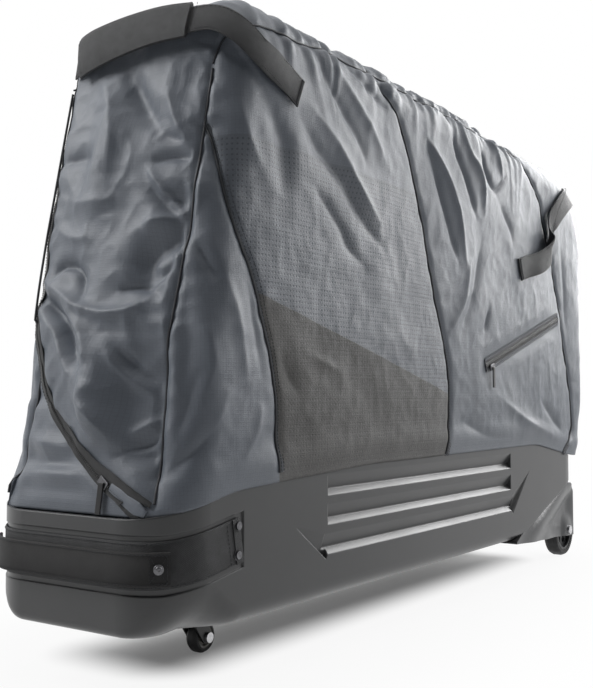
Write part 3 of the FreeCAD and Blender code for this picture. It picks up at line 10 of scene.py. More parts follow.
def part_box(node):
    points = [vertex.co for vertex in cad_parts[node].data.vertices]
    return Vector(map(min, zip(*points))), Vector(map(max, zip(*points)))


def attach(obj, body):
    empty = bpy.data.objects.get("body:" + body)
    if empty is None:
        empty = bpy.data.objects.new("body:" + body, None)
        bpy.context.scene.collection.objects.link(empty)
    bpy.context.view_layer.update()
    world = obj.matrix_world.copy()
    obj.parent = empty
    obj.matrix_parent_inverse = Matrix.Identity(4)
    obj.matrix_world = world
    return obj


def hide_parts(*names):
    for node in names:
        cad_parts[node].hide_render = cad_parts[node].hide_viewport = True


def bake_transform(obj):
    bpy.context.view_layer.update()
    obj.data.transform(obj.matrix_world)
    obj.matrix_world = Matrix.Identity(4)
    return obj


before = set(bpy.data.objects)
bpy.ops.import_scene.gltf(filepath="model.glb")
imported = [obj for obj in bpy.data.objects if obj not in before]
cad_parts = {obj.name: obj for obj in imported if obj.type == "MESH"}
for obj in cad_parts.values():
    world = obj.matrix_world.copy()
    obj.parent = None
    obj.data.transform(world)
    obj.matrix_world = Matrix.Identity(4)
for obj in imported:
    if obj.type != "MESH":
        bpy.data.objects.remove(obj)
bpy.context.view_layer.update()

# Bike travel case. Lengths in this script are millimetres from the tub's nose, as in the CAD, until the
# mesh is made; to_world turns them into metres in the row frame.
NOSE = -642.5
MM = 0.001
IMAGE = (593, 688)


def to_world(points):
    """Row-frame coordinates of an array of places given from the nose."""
    out = np.array(points, float)
    out[..., 0] += NOSE
    return out * MM


# Camera of the photograph
FOCAL_PX = 999.71
EYE = Vector((-759.74, -833.74, 322.84))
YAW = math.radians(34.81)
PITCH = math.radians(3.02)
FORWARD = Vector((math.cos(YAW) * math.cos(PITCH), math.sin(YAW) * math.cos(PITCH), math.sin(PITCH)))
RIGHT = Vector((math.sin(YAW), -math.cos(YAW), 0))
UP = RIGHT.cross(FORWARD)


def make_camera():
    data = bpy.data.cameras.new("camera")
    data.sensor_fit = "VERTICAL"
    data.sensor_height = 36
    data.lens = FOCAL_PX / IMAGE[1] * data.sensor_height
    data.clip_start = 0.05
    data.clip_end = 60
    camera = link(bpy.data.objects.new("camera", data))
    camera.location = to_world(EYE)
    camera.rotation_euler = FORWARD.to_track_quat("-Z", "Y").to_euler()
    bpy.context.scene.camera = camera


def pixel_ray(px, py):
    """Direction from the eye through a pixel of the photograph."""
    across = (px - IMAGE[0] / 2) / FOCAL_PX
    down = (py - IMAGE[1] / 2) / FOCAL_PX
    return (FORWARD + RIGHT * across - UP * down).normalized()


# Shapes

def smooth(low, high, value):
    """0 below low, 1 above high, smooth between."""
    t = np.clip((value - low) / (high - low), 0, 1)
    return t * t * (3 - 2 * t)


def rounded_line(corners, step=4):
    """Points along a line through corners (u, v) or rounded corners (u, v, radius)."""
    points = [np.array(corners[0][:2], float)]
    for before, corner, after in zip(corners, corners[1:], corners[2:]):
        spot = np.array(corner[:2], float)
        if len(corner) < 3:
            points.append(spot)
            continue
        back = np.array(before[:2], float) - spot
        ahead = np.array(after[:2], float) - spot
        back /= np.linalg.norm(back)
        ahead /= np.linalg.norm(ahead)
        half = math.acos(np.clip(back @ ahead, -1, 1)) / 2
        reach = corner[2] / math.tan(half)
        middle = back + ahead
        centre = spot + middle / np.linalg.norm(middle) * corner[2] / math.sin(half)
        first = spot + back * reach - centre
        last = spot + ahead * reach - centre
        turn = math.atan2(first[0] * last[1] - first[1] * last[0], first @ last)
        count = max(2, int(abs(turn) * corner[2] / step))
        for i in range(count + 1):
            a = turn * i / count
            cos, sin = math.cos(a), math.sin(a)
            turned = [first[0] * cos - first[1] * sin, first[0] * sin + first[1] * cos]
            points.append(centre + np.array(turned))
    points.append(np.array(corners[-1][:2], float))
    return np.array(points)


def steps_of(line):
    """Lengths of the steps between the points of a line."""
    return np.linalg.norm(np.diff(line, axis=0), axis=1)


def length_of(line):
    return steps_of(line).sum()


def marks_of(line):
    """How far along a line each of its points is."""
    return np.concatenate([[0], np.cumsum(steps_of(line))])


def read_off(at, marks, rows):
    """Rows of values, known at marks, read off between them."""
    return np.stack([np.interp(at, marks, rows[:, k]) for k in range(rows.shape[1])], -1)


def resample(line, count):
    """A line at count points, evenly spaced."""
    line = np.asarray(line, float)
    marks = marks_of(line)
    return read_off(np.linspace(0, 1, count) * marks[-1], marks, line)


def line_distance(points, line):
    """Distance from points to a line of points, and the share along it of the nearest place."""
    best = np.full(len(points), 1e9)
    share = np.zeros(len(points))
    marks = marks_of(line)
    for a, b, start, length in zip(line, line[1:], marks, steps_of(line)):
        t = np.clip((points - a) @ (b - a) / max(length * length, 1e-12), 0, 1)
        gap = np.linalg.norm(points - a - t[:, None] * (b - a), axis=1)
        near = gap < best
        best[near] = gap[near]
        share[near] = (start + t[near] * length) / marks[-1]
    return best, share


def unit(vectors):
    """Rows scaled to length one."""
    return vectors / np.linalg.norm(vectors, axis=1)[:, None]


def softened(values, reach):
    """Rows of values averaged with their neighbours."""
    wide = np.concatenate([np.repeat(values[:1], reach, 0), values, np.repeat(values[-1:], reach, 0)])
    window = np.ones(2 * reach + 1) / (2 * reach + 1)
    return np.stack([np.convolve(wide[:, k], window, "valid") for k in range(values.shape[1])], 1)


def link(obj):
    bpy.context.scene.collection.objects.link(obj)
    return obj


def mesh_object(name, points, faces, material, uvs):
    """A new object from points, given from the nose."""
    mesh = bpy.data.meshes.new(name)
    mesh.from_pydata(to_world(points).tolist(), [], faces)
    mesh.update()
    layer = mesh.uv_layers.new(name="cloth")
    loops = np.empty(len(mesh.loops), int)
    mesh.loops.foreach_get("vertex_index", loops)
    layer.data.foreach_set("uv", np.asarray(uvs, np.float32)[loops].ravel())
    for polygon in mesh.polygons:
        polygon.use_smooth = True
    obj = link(bpy.data.objects.new(name, mesh))
    obj.data.materials.append(material)
    return obj


def grid_faces(rows, columns, flip=False):
    """Faces over a grid of points."""
    faces = []
    for i in range(rows - 1):
        for j in range(columns - 1):
            a = i * columns + j
            quad = (a, a + 1, a + columns + 1, a + columns)
            faces.append(quad[::-1] if flip else quad)
    return faces


# Form of the cover, as in the CAD
COVER_HALF = 147
COVER_ROUND = 60
RIM = [(-100, 172), (110, 219, 260), (400, 233, 1040), (1000, 236, 260), (1185, 207, 260), (1400, 207)]
ZIP_LINE = [(-140, 181), (-125, 189), (-40, 234, 110), (60, 310, 110), (113, 430, 110), (113, 900)]

PROFILE = [
    (-7, 110), (41, 427, 1500), (119, 801, 76), (700, 796, 2400), (1281, 764, 165), (1281, 300, 120),
    (1225, 110),
]
profile = resample(rounded_line(PROFILE), 700)
tangent = unit(np.gradient(profile, axis=0))
outward = np.stack([-tangent[:, 1], tangent[:, 0]], 1)
PROFILE_MARKS = np.linspace(0, 1, len(profile))
rim_line = rounded_line(RIM)
zip_line = rounded_line(ZIP_LINE)


def rim_z(x):
    return np.interp(x, rim_line[:, 0], rim_line[:, 1])


def zip_y(z):
    """Where the zip line is, across the front, at a height."""
    return np.interp(z, zip_line[:, 1], zip_line[:, 0])


def share_of(spot):
    """Share along the profile of the place nearest to a point."""
    return line_distance(np.array([spot], float), profile)[1][0]


def profile_at(shares, inset=0):
    """Places (x, z) on the profile at shares of its length, moved in by inset."""
    spot, normal = (read_off(shares, PROFILE_MARKS, rows) for rows in (profile, outward))
    return spot - normal * np.asarray(inset)[..., None]


# Corners of the cover on its profile, counts and lengths of its mesh, and the zip's place on its round
FRONT_FOOT = share_of((6, 196))
FRONT_TOP = share_of((140, 780))
REAR_TOP = share_of((1233, 716))
REAR_FOOT = share_of((1254, 207))
ROWS, LENGTHWISE, ACROSS = 110, 220, 42
SIDE_HIGH, SIDE_LONG = 585, 1200
FIXED_TOP = 440
FLAT_HALF = COVER_HALF - COVER_ROUND
ZIP_EDGE = 113
ZIP_BEND = math.asin((ZIP_EDGE - FLAT_HALF) / COVER_ROUND)
ZIP_INSET = COVER_ROUND * (1 - math.cos(ZIP_BEND))
ZIP_ACROSS = FLAT_HALF + COVER_ROUND * ZIP_BEND


def crowded(count, length, rounded_start):
    """Shares along a length that crowd where the surface turns away: at its end, and perhaps its start."""
    arc = COVER_ROUND * math.pi / 2
    ends = 2 if rounded_start else 1
    total = length + (arc - COVER_ROUND) * ends
    s = np.linspace(0, total, count)
    turned = COVER_ROUND * (1 - np.cos(np.minimum(s, arc) / COVER_ROUND))
    start = np.where(s < arc, turned, s - arc + COVER_ROUND)
    left = total - s
    end = length - COVER_ROUND * (1 - np.cos(np.minimum(left, arc) / COVER_ROUND))
    return np.where(left < arc, end, start if rounded_start else s) / length


UPWARD = crowded(ROWS, SIDE_HIGH, False)
ALONG = crowded(LENGTHWISE, SIDE_LONG, True)
FRONT_SHARES = FRONT_FOOT + (FRONT_TOP - FRONT_FOOT) * UPWARD
TOP_SHARES = FRONT_TOP + (REAR_TOP - FRONT_TOP) * ALONG
REAR_SHARES = REAR_FOOT + (REAR_TOP - REAR_FOOT) * UPWARD
ROUND_SHARES = np.concatenate([FRONT_SHARES, TOP_SHARES[1:], REAR_SHARES[-2::-1]])


def side_places(inset):
    """Places (x, z) over one side of the cover, as rows from the rim to the top edge."""
    left, right = profile_at(FRONT_SHARES, inset), profile_at(REAR_SHARES, inset)
    top = profile_at(TOP_SHARES, inset)
    x = left[0, 0] + (right[0, 0] - left[0, 0]) * ALONG
    bottom = np.stack([x, rim_z(x)], 1)
    bottom[0], bottom[-1] = left[0], right[0]
    u, v = ALONG[None, :, None], UPWARD[:, None, None]
    grid = (1 - v) * bottom[None] + v * top[None] + (1 - u) * left[:, None] + u * right[:, None]
    return grid - (
        (1 - u) * (1 - v) * bottom[0] + u * (1 - v) * bottom[-1] + (1 - u) * v * top[0] + u * v * top[-1]
    )


def side_depth(places):
    """Half width of the cover at places (x, z) on its side."""
    inset, _ = line_distance(places, profile)
    short = COVER_ROUND - np.clip(inset, 0, COVER_ROUND)
    return FLAT_HALF + np.sqrt(COVER_ROUND**2 - short**2)


def side_patch(sign, inset):
    """Points over a side: sign -1 for the near side, 1 for the far one."""
    places = side_places(inset)
    flat = places.reshape(-1, 2)
    depth = side_depth(flat)
    edge = np.zeros((ROWS, LENGTHWISE), bool)
    edge[:, 0] = edge[:, -1] = edge[-1] = True
    depth[edge.ravel()] = ZIP_EDGE if inset else FLAT_HALF
    return np.stack([flat[:, 0], sign * depth, flat[:, 1]], 1), grid_faces(ROWS, LENGTHWISE, flip=sign > 0)


def band_points(shares, across):
    """Points on the band round front, top and rear, by how far they are from its middle over the surface."""
    bend = np.clip(np.abs(across) - FLAT_HALF, 0, None) / COVER_ROUND
    y = np.sign(across) * (np.minimum(np.abs(across), FLAT_HALF) + COVER_ROUND * np.sin(bend))
    spots = profile_at(np.broadcast_to(shares, across.shape), COVER_ROUND * (1 - np.cos(bend)))
    return np.stack([spots[..., 0], y, spots[..., 1]], -1)


def zip_across(shares):
    """Where the zip is on the band, over the surface from its middle."""
    y = np.clip(zip_y(profile_at(shares)[:, 1]), -FLAT_HALF, ZIP_EDGE)
    bend = np.arcsin(np.clip(y - FLAT_HALF, 0, COVER_ROUND) / COVER_ROUND)
    return np.where(y > FLAT_HALF, FLAT_HALF + COVER_ROUND * bend, y)


def flap_band():
    """The band from the near side to the zip."""
    reach = zip_across(ROUND_SHARES)[:, None]
    across = -FLAT_HALF + (reach + FLAT_HALF) * np.linspace(0, 1, ACROSS)[None]
    points = band_points(ROUND_SHARES[:, None], across).reshape(-1, 3)
    return points, grid_faces(len(ROUND_SHARES), ACROSS, flip=True)


def fixed_band(shares, flip):
    """The band from the zip to the far side, below the height where the zip reaches that side."""
    shares = shares[profile_at(shares)[:, 1] < FIXED_TOP]
    reach = zip_across(shares)[:, None]
    across = reach + (ZIP_ACROSS - reach) * np.linspace(0, 1, ACROSS)[None]
    return band_points(shares[:, None], across).reshape(-1, 3), grid_faces(len(shares), ACROSS, flip=flip)


def joined(name, parts):
    """One mesh from (points, faces) parts, welded where they meet."""
    bm = bmesh.new()
    for points, faces in parts:
        verts = [bm.verts.new(p) for p in to_world(points)]
        for face in faces:
            bm.faces.new([verts[i] for i in face])
    bmesh.ops.remove_doubles(bm, verts=bm.verts, dist=5e-5)
    bmesh.ops.dissolve_degenerate(bm, edges=bm.edges, dist=1e-6)
    mesh = bpy.data.meshes.new(name)
    bm.to_mesh(mesh)
    bm.free()
    for polygon in mesh.polygons:
        polygon.use_smooth = True
    return mesh


def read_points(mesh):
    """Points from the nose, in millimetres, and normals of a mesh."""
    points = np.empty(len(mesh.vertices) * 3)
    mesh.vertices.foreach_get("co", points)
    normals = np.empty(len(mesh.vertices) * 3)
    mesh.vertex_normals.foreach_get("vector", normals)
    points = points.reshape(-1, 3) / MM
    points[:, 0] -= NOSE
    return points, normals.reshape(-1, 3)


def surface_of(*meshes):
    """A tree for rays and nearest places on meshes, in millimetres from the nose."""
    points, faces = [], []
    for mesh in meshes:
        start = len(points)
        points += [Vector(p) for p in read_points(mesh)[0]]
        faces += [tuple(start + i for i in f.vertices) for f in mesh.polygons]
    return BVHTree.FromPolygons(points, faces)


def finer(mesh):
    """The mesh with each face cut in four, on a smooth surface."""
    obj = link(bpy.data.objects.new("finer", mesh))
    cutter = obj.modifiers.new("cutter", "SUBSURF")
    cutter.levels = 1
    cutter.boundary_smooth = "PRESERVE_CORNERS"
    dense = bpy.data.meshes.new_from_object(obj.evaluated_get(bpy.context.evaluated_depsgraph_get()))
    bpy.data.objects.remove(obj)
    return dense


near_cover = joined("cover_flap_cloth", [side_patch(-1, 0), flap_band()])
near_cover = finer(near_cover)
far_cover = joined(
    "cover_fixed_cloth",
    [side_patch(1, ZIP_INSET), fixed_band(FRONT_SHARES, True), fixed_band(REAR_SHARES, False)],
)
near_tree, far_tree = surface_of(near_cover), surface_of(far_cover)


def cast(px, py, tree=near_tree):
    """Place on a surface that a pixel of the photograph shows, or that the nearest pixel below it does."""
    for lower in range(0, 40, 2):
        spot = tree.ray_cast(EYE, pixel_ray(px, py + lower))[0]
        if spot is not None:
            return np.array(spot)
    raise ValueError(f"no surface behind pixel {px}, {py}")


def curve(points, count):
    """A smooth line through points, at evenly spaced places."""
    points = np.asarray(points, float)
    padded = np.concatenate([[2 * points[0] - points[1]], points, [2 * points[-1] - points[-2]]])
    t = np.linspace(0, 1, 12, endpoint=False)[:, None]
    pieces = []
    for a, b, c, d in zip(padded, padded[1:], padded[2:], padded[3:]):
        square, cube = 2 * a - 5 * b + 4 * c - d, 3 * b - a - 3 * c + d
        pieces.append(0.5 * (2 * b + (c - a) * t + square * t**2 + cube * t**3))
    pieces.append(points[-1:])
    return resample(np.concatenate(pieces), count)


def seen(pixels, count=60, tree=near_tree):
    """A line on a surface through pixels of the photograph."""
    return curve([cast(*pixel, tree) for pixel in pixels], count)


def mirrored(line):
    return line * np.array([1, -1, 1])


# Seams, by where the photograph shows them
SEAM_FRONT = seen([(201, 117), (217, 146), (236, 213), (255, 277), (271, 347), (277, 395), (280, 474)])
SEAM_MIDDLE = seen([
    (366, 68), (373, 71), (390, 98), (403, 125), (413, 170), (422, 213), (437, 298), (447, 350),
    (451, 390), (450, 430), (446, 455),
], 90)
SEAM_REAR = seen([
    (508, 142), (516, 150), (526, 169), (536, 190), (541, 203), (546, 232), (553, 263), (558, 295),
    (566, 355), (570, 390), (573, 423), (571, 435), (563, 452),
], 80)
SEAM_CORNER = seen([
    (209, 60), (201, 114), (191, 178), (185, 219), (175, 267), (166, 309), (159, 347), (156, 398),
    (155, 443), (153, 506),
], 90)
SEAM_TOP = seen([
    (209, 58), (222, 34), (241, 24), (275, 27), (300, 41), (325, 48), (360, 67), (373, 71), (395, 77),
    (436, 95), (465, 116), (492, 132), (516, 152),
], 120)
near_seams = [SEAM_FRONT, SEAM_MIDDLE, SEAM_REAR, SEAM_CORNER, SEAM_TOP]
rear_places = resample(profile_at(np.linspace(REAR_TOP, REAR_FOOT, 50), 8), 50)
SEAM_TAIL = np.stack([rear_places[:, 0], -np.full(50, 117.0), rear_places[:, 1]], 1)
zip_shares = ROUND_SHARES[zip_across(ROUND_SHARES) > -FLAT_HALF + 0.5]
ZIP = resample(band_points(zip_shares, zip_across(zip_shares)), 700)
POCKET = np.array([(773.0, -COVER_HALF, 374.0), (1110, -COVER_HALF, 473)])
SLIDER_PLACE = np.array([(13.0, -60, 222), (13.0, -34, 238)])
RIM_NEAR = np.stack([rim_line[:, 0], np.full(len(rim_line), -float(COVER_HALF)), rim_line[:, 1]], 1)

# Folds that the photograph shows: height, half width, and the pixels they run through
FRONT_FOLDS = [
    (-9, 15, [(128, 70), (142, 105), (159, 133)]), (6, 14, [(108, 78), (118, 130), (112, 180)]),
    (5, 9, [(166, 84), (172, 115), (180, 140)]), (-7, 8, [(186, 152), (168, 152), (148, 160)]),
    (5, 4, [(145, 166), (158, 186), (174, 209)]), (-7, 9, [(146, 184), (158, 203), (170, 216)]),
    (-10, 16, [(176, 226), (156, 240), (140, 262), (150, 284)]),
    (6, 9, [(180, 206), (160, 214), (138, 226)]),
    (8, 7, [(42, 282), (64, 296), (84, 308), (106, 314), (128, 309), (142, 296)]),
    (-10, 8, [(50, 280), (62, 266), (78, 270), (84, 300)]), (-7, 6, [(116, 290), (132, 284), (146, 288)]),
    (-13, 9, [(38, 284), (55, 312), (65, 326), (76, 356), (88, 370)]),
    (8, 10, [(62, 300), (90, 340), (96, 372)]), (5, 9, [(36, 306), (56, 334), (68, 366), (80, 386)]),
    (-8, 20, [(138, 340), (124, 380), (126, 430), (140, 470)]),
    (6, 16, [(100, 380), (92, 410), (110, 440)]), (-6, 9, [(150, 452), (128, 458), (108, 452)]),
    (-5, 8, [(60, 150), (76, 160), (98, 158)]), (4, 10, [(66, 200), (90, 206), (120, 200)]),
    (-5, 8, [(178, 136), (166, 134), (158, 128)]), (-5, 6, [(174, 200), (164, 194), (156, 196)]),
    (-5, 6, [(168, 258), (160, 262), (150, 276)]), (4, 6, [(58, 228), (72, 238), (92, 240)]),
    (15, 34, [(104, 330), (100, 380), (104, 430), (112, 462)]),
    (-9, 20, [(152, 330), (148, 390), (146, 440), (150, 490)]),
    (9, 26, [(112, 110), (104, 170), (104, 220)]), (-7, 16, [(176, 170), (170, 210), (164, 250)]),
    (5, 5, [(110, 350), (122, 372), (140, 392)]), (-5, 5, [(116, 346), (130, 368), (146, 380)]),
    (5, 6, [(150, 418), (136, 424), (122, 436)]), (-5, 5, [(146, 436), (132, 444), (118, 452)]),
    (4, 5, [(92, 404), (104, 420), (112, 440)]), (-4, 5, [(74, 400), (84, 424), (98, 446)]),
]
SIDE_FOLDS = [
    (-6, 9, [(194, 236), (206, 252), (223, 280)]), (5, 8, [(200, 150), (196, 190), (190, 212)]),
    (-7, 16, [(186, 300), (190, 350), (182, 400)]), (6, 14, [(205, 320), (214, 360), (204, 400)]),
    (-6, 12, [(204, 366), (192, 400), (178, 436)]), (5, 14, [(230, 380), (215, 430), (180, 480)]),
    (-6, 10, [(222, 420), (200, 450), (172, 470)]), (4, 9, [(262, 400), (256, 430), (240, 462)]),
    (-8, 16, [(262, 84), (276, 118), (284, 150), (282, 200)]),
    (6, 14, [(240, 92), (248, 130), (262, 170)]),
    (-8, 12, [(300, 118), (318, 150), (340, 178), (362, 220), (380, 246)]),
    (6, 9, [(314, 112), (336, 146), (356, 186), (378, 224)]),
    (-5, 8, [(313, 188), (338, 224), (350, 250), (362, 264)]),
    (-6, 9, [(318, 52), (330, 84), (358, 138), (366, 164)]),
    (5, 9, [(330, 58), (350, 92), (372, 132), (384, 160)]), (-6, 8, [(350, 66), (374, 94), (391, 110)]),
    (-9, 8, [(426, 134), (436, 172), (446, 214), (458, 264)]),
    (9, 8, [(427, 136), (446, 180), (456, 216), (464, 262)]),
    (-9, 7, [(446, 112), (456, 146), (468, 184), (476, 217)]),
    (8, 7, [(456, 116), (466, 146), (480, 180), (484, 212)]),
    (-8, 6, [(478, 140), (486, 172), (495, 190), (504, 178)]),
    (7, 6, [(486, 128), (496, 154), (502, 176)]), (6, 9, [(468, 262), (462, 300), (450, 330)]),
    (-5, 9, [(482, 240), (474, 290), (462, 330)]), (-5, 6, [(488, 310), (484, 334)]),
    (-4, 8, [(500, 205), (510, 230), (512, 246)]), (-6, 8, [(382, 80), (386, 94)]),
    (-6, 6, [(417, 84), (422, 98)]), (-6, 7, [(440, 100), (450, 124)]), (5, 6, [(430, 92), (438, 112)]),
    (-6, 7, [(465, 118), (476, 134)]), (-5, 6, [(484, 128), (498, 146)]),
    (5, 10, [(500, 400), (530, 424), (556, 438)]), (-5, 10, [(540, 400), (554, 420), (562, 434)]),
    (-4, 10, [(462, 420), (486, 436), (510, 438)]), (-3, 8, [(282, 352), (290, 378), (300, 396)]),
    (3, 7, [(308, 356), (322, 362), (340, 372)]), (-4, 9, [(246, 260), (256, 320), (262, 372)]),
    (5, 12, [(226, 270), (240, 330), (246, 380)]), (-3, 8, [(560, 250), (564, 290), (566, 330)]),
]
LOW_FRONT_FOLDS = [
    (6, 8, [(20, 368), (36, 374), (52, 392)]), (-6, 7, [(22, 388), (40, 396), (56, 408)]),
    (7, 9, [(18, 436), (40, 442), (70, 446)]), (-7, 8, [(16, 456), (46, 462), (80, 466)]),
    (7, 8, [(14, 474), (50, 472), (84, 476)]), (-6, 7, [(14, 488), (50, 490), (96, 492)]),
    (6, 7, [(12, 503), (50, 502), (104, 508)]),
]


def wave(along, pitch, seed):
    """A seeded wandering wave along a line, from -1 to 1."""
    table = np.random.default_rng(seed).uniform(-1, 1, 4000)
    at = along / pitch + 50
    cell = np.floor(at).astype(int) % 3900
    t = at - np.floor(at)
    t = t * t * (3 - 2 * t)
    return table[cell] * (1 - t) + table[cell + 1] * t


def gathers(points, line, pitch, depth, reach, seed, skew=0.3):
    """Small folds that leave a seam across it."""
    gap, share = line_distance(points, line)
    along = share * length_of(line) + skew * gap * wave(share * length_of(line), 90, seed + 1)
    grow = 1 - np.exp(-gap / 5)
    return depth * grow * np.exp(-gap / reach) * wave(along, pitch, seed)


def folds(points, strokes, tree, scale=1.0, flip=False):
    """Height of the listed folds at points."""
    height = np.zeros(len(points))
    if flip:
        points = mirrored(points)
    for depth, width, pixels in strokes:
        line = seen(pixels, 14, tree)
        reach = 4 * width
        near = np.all((points > line.min(0) - reach) & (points < line.max(0) + reach), axis=1)
        gap, share = line_distance(points[near], line)
        ends = np.sin(math.pi * np.clip(share, 0.03, 0.97)) ** 0.6
        height[near] += scale * depth * ends * np.exp(-((gap / width) ** (1.3 if width < 15 else 1.8)))
    return height


def roughness(points, pitch, seed):
    """Seeded noise from -1 to 1 at points; pitch is its size in millimetres, or that along each axis."""
    return np.array([noise.noise(Vector(p)) for p in points / np.asarray(pitch) + np.array([seed, 0, 0])])


def creases(points, pitch, seed):
    """Sharp-edged crumples, from -1 in their valleys to 0."""
    return -np.abs(roughness(points, pitch, seed)) ** 0.8


def dress(points, normals, seams, far):
    """Cloth over the plain form: pulled in at its seams, full between them, gathered and folded."""
    zip_place = resample(ZIP, 160)
    rim = mirrored(RIM_NEAR) if far else RIM_NEAR
    # Full between the seams and drawn in along them
    gap = np.min([line_distance(points, line)[0] for line in seams + [zip_place]], axis=0)
    height = 5.0 * (1 - np.exp(-gap / 45)) - 2.5 - 3.0 * np.exp(-((gap / 6) ** 2))
    # A roll of cloth above the rim
    above = points[:, 2] - rim_z(points[:, 0])
    height += 3.5 * np.exp(-(((above - 22) / 16) ** 2)) - 3.5 * np.exp(-((above / 7) ** 2))
    # Small folds that leave the seams, the zip and the rim
    for line, pitch, depth, reach, seed in (
        (seams[0], 16, 2.0, 16, 3), (seams[1], 17, 2.0, 16, 5), (seams[2], 16, 2.4, 16, 7),
        (seams[3], 15, 4.2, 22, 9), (seams[4], 13, 5.0, 36, 11), (zip_place, 14, 2.6, 22, 13),
        (rim, 34, 2, 26, 15),
    ):
        height += gathers(points, line, pitch, depth, reach, seed + 40 * far)
    # Slack, a hollow along the front corner, and crumples that are weaker on the sides
    height += 2.4 * roughness(points, 130, 3.1 + far) + 1.3 * roughness(points, 48, 8.7 + far)
    height += 0.5 * roughness(points, 17, 1.7 + far)
    corner = line_distance(points, seams[3])[0]
    height -= 13 * np.exp(-((corner / 62) ** 2))
    crumple = 5.0 * creases(points, (46, 60, 70), 4.3 + far)
    crumple = crumple + 2.2 * creases(points, (19, 24, 27), 6.1 + far) + 3.0
    height += crumple * (1 - 0.72 * smooth(0.35, 0.8, np.abs(normals[:, 1])))
    # Listed folds, and calm cloth near the rim, the pocket and the main slider
    if far:
        height += folds(points, SIDE_FOLDS, near_tree, 0.8, True) + folds(points, LOW_FRONT_FOLDS, far_tree)
    else:
        height += folds(points, FRONT_FOLDS, near_tree, 1.35) + folds(points, SIDE_FOLDS, near_tree)
    calm = np.clip(above / 40, 0.15, 1)
    if not far:
        for line, reach in ((POCKET, 16), (SLIDER_PLACE, 26)):
            calm *= smooth(0.4, 2.2, line_distance(points, line)[0] / reach)
    return points + normals * (height * calm)[:, None]


def cloth_coordinates(points):
    """Coordinates of the weave over the sides and over the band, in metres."""
    places = points[:, [0, 2]]
    inset, share = line_distance(places, profile)
    inset = np.minimum(inset, COVER_ROUND)
    normal = read_off(share, PROFILE_MARKS, outward)
    bend = np.arccos(np.clip(1 - inset / COVER_ROUND, 0, 1))
    extra = COVER_ROUND * (math.pi / 2 - bend) - (COVER_ROUND - inset)
    side = places + normal * extra[:, None]
    over = np.clip((np.abs(points[:, 1]) - FLAT_HALF) / COVER_ROUND, 0, 1)
    across = np.minimum(np.abs(points[:, 1]), FLAT_HALF) + COVER_ROUND * np.arcsin(over)
    across = np.sign(points[:, 1]) * across
    return side * MM, np.stack([across, share * length_of(profile)], 1) * MM


def between(points, first, second):
    """How far points are inside the panel between two seams, below zero outside it."""
    places = points[:, [0, 2]]
    inside = []
    for line, sign in ((first, 1), (second, -1)):
        flat = line[np.argsort(line[:, 2])]
        x = np.interp(places[:, 1], flat[:, 2], flat[:, 0])
        inside.append(sign * (places[:, 0] - x))
    return np.minimum(*inside) * MM


def finish_cloth(mesh, seams, far):
    """Dress a cover half, with coordinates for its weave and a mark on its middle panel."""
    points, normals = read_points(mesh)
    side, band = cloth_coordinates(points)
    facing = np.empty(len(mesh.polygons) * 3)
    mesh.polygons.foreach_get("normal", facing)
    on_side = np.abs(facing.reshape(-1, 3)[:, 1]) > 0.5
    loops = np.empty(len(mesh.loops), int)
    mesh.loops.foreach_get("vertex_index", loops)
    counts = np.array([polygon.loop_total for polygon in mesh.polygons])
    loop_side = np.repeat(on_side, counts)
    uvs = np.where(loop_side[:, None], side[loops], band[loops])
    mesh.uv_layers.new(name="cloth").data.foreach_set("uv", uvs.astype(np.float32).ravel())
    inside = between(points, SEAM_FRONT, SEAM_MIDDLE)
    inside = np.where(np.abs(normals[:, 1]) > 0.55, inside, -0.1)
    mesh.attributes.new("middle", "FLOAT", "POINT").data.foreach_set("value", inside.astype(np.float32))
    dressed = dress(points, normals, seams, far)
    mesh.vertices.foreach_set("co", to_world(dressed).ravel())
    mesh.update()


far_seams = [mirrored(line) for line in near_seams]
finish_cloth(near_cover, near_seams + [SEAM_TAIL], False)
finish_cloth(far_cover, far_seams + [mirrored(SEAM_TAIL)], True)


# Materials

class Nodes:
    """Nodes of a material or the world, added one by one and joined by their sockets."""

    def __init__(self, owner):
        owner.use_nodes = True
        self.tree = owner.node_tree

    def put(self, socket, value):
        if isinstance(value, bpy.types.NodeSocket):
            self.tree.links.new(value, socket)
        else:
            socket.default_value = value

    def add(self, kind, inputs, **settings):
        node = self.tree.nodes.new("ShaderNode" + kind)
        for name, value in settings.items():
            setattr(node, name, value)
        for name, value in inputs.items():
            self.put(node.inputs[name], value)
        return node

    def math(self, operation, *values):
        return self.add("Math", dict(enumerate(values)), operation=operation).outputs[0]


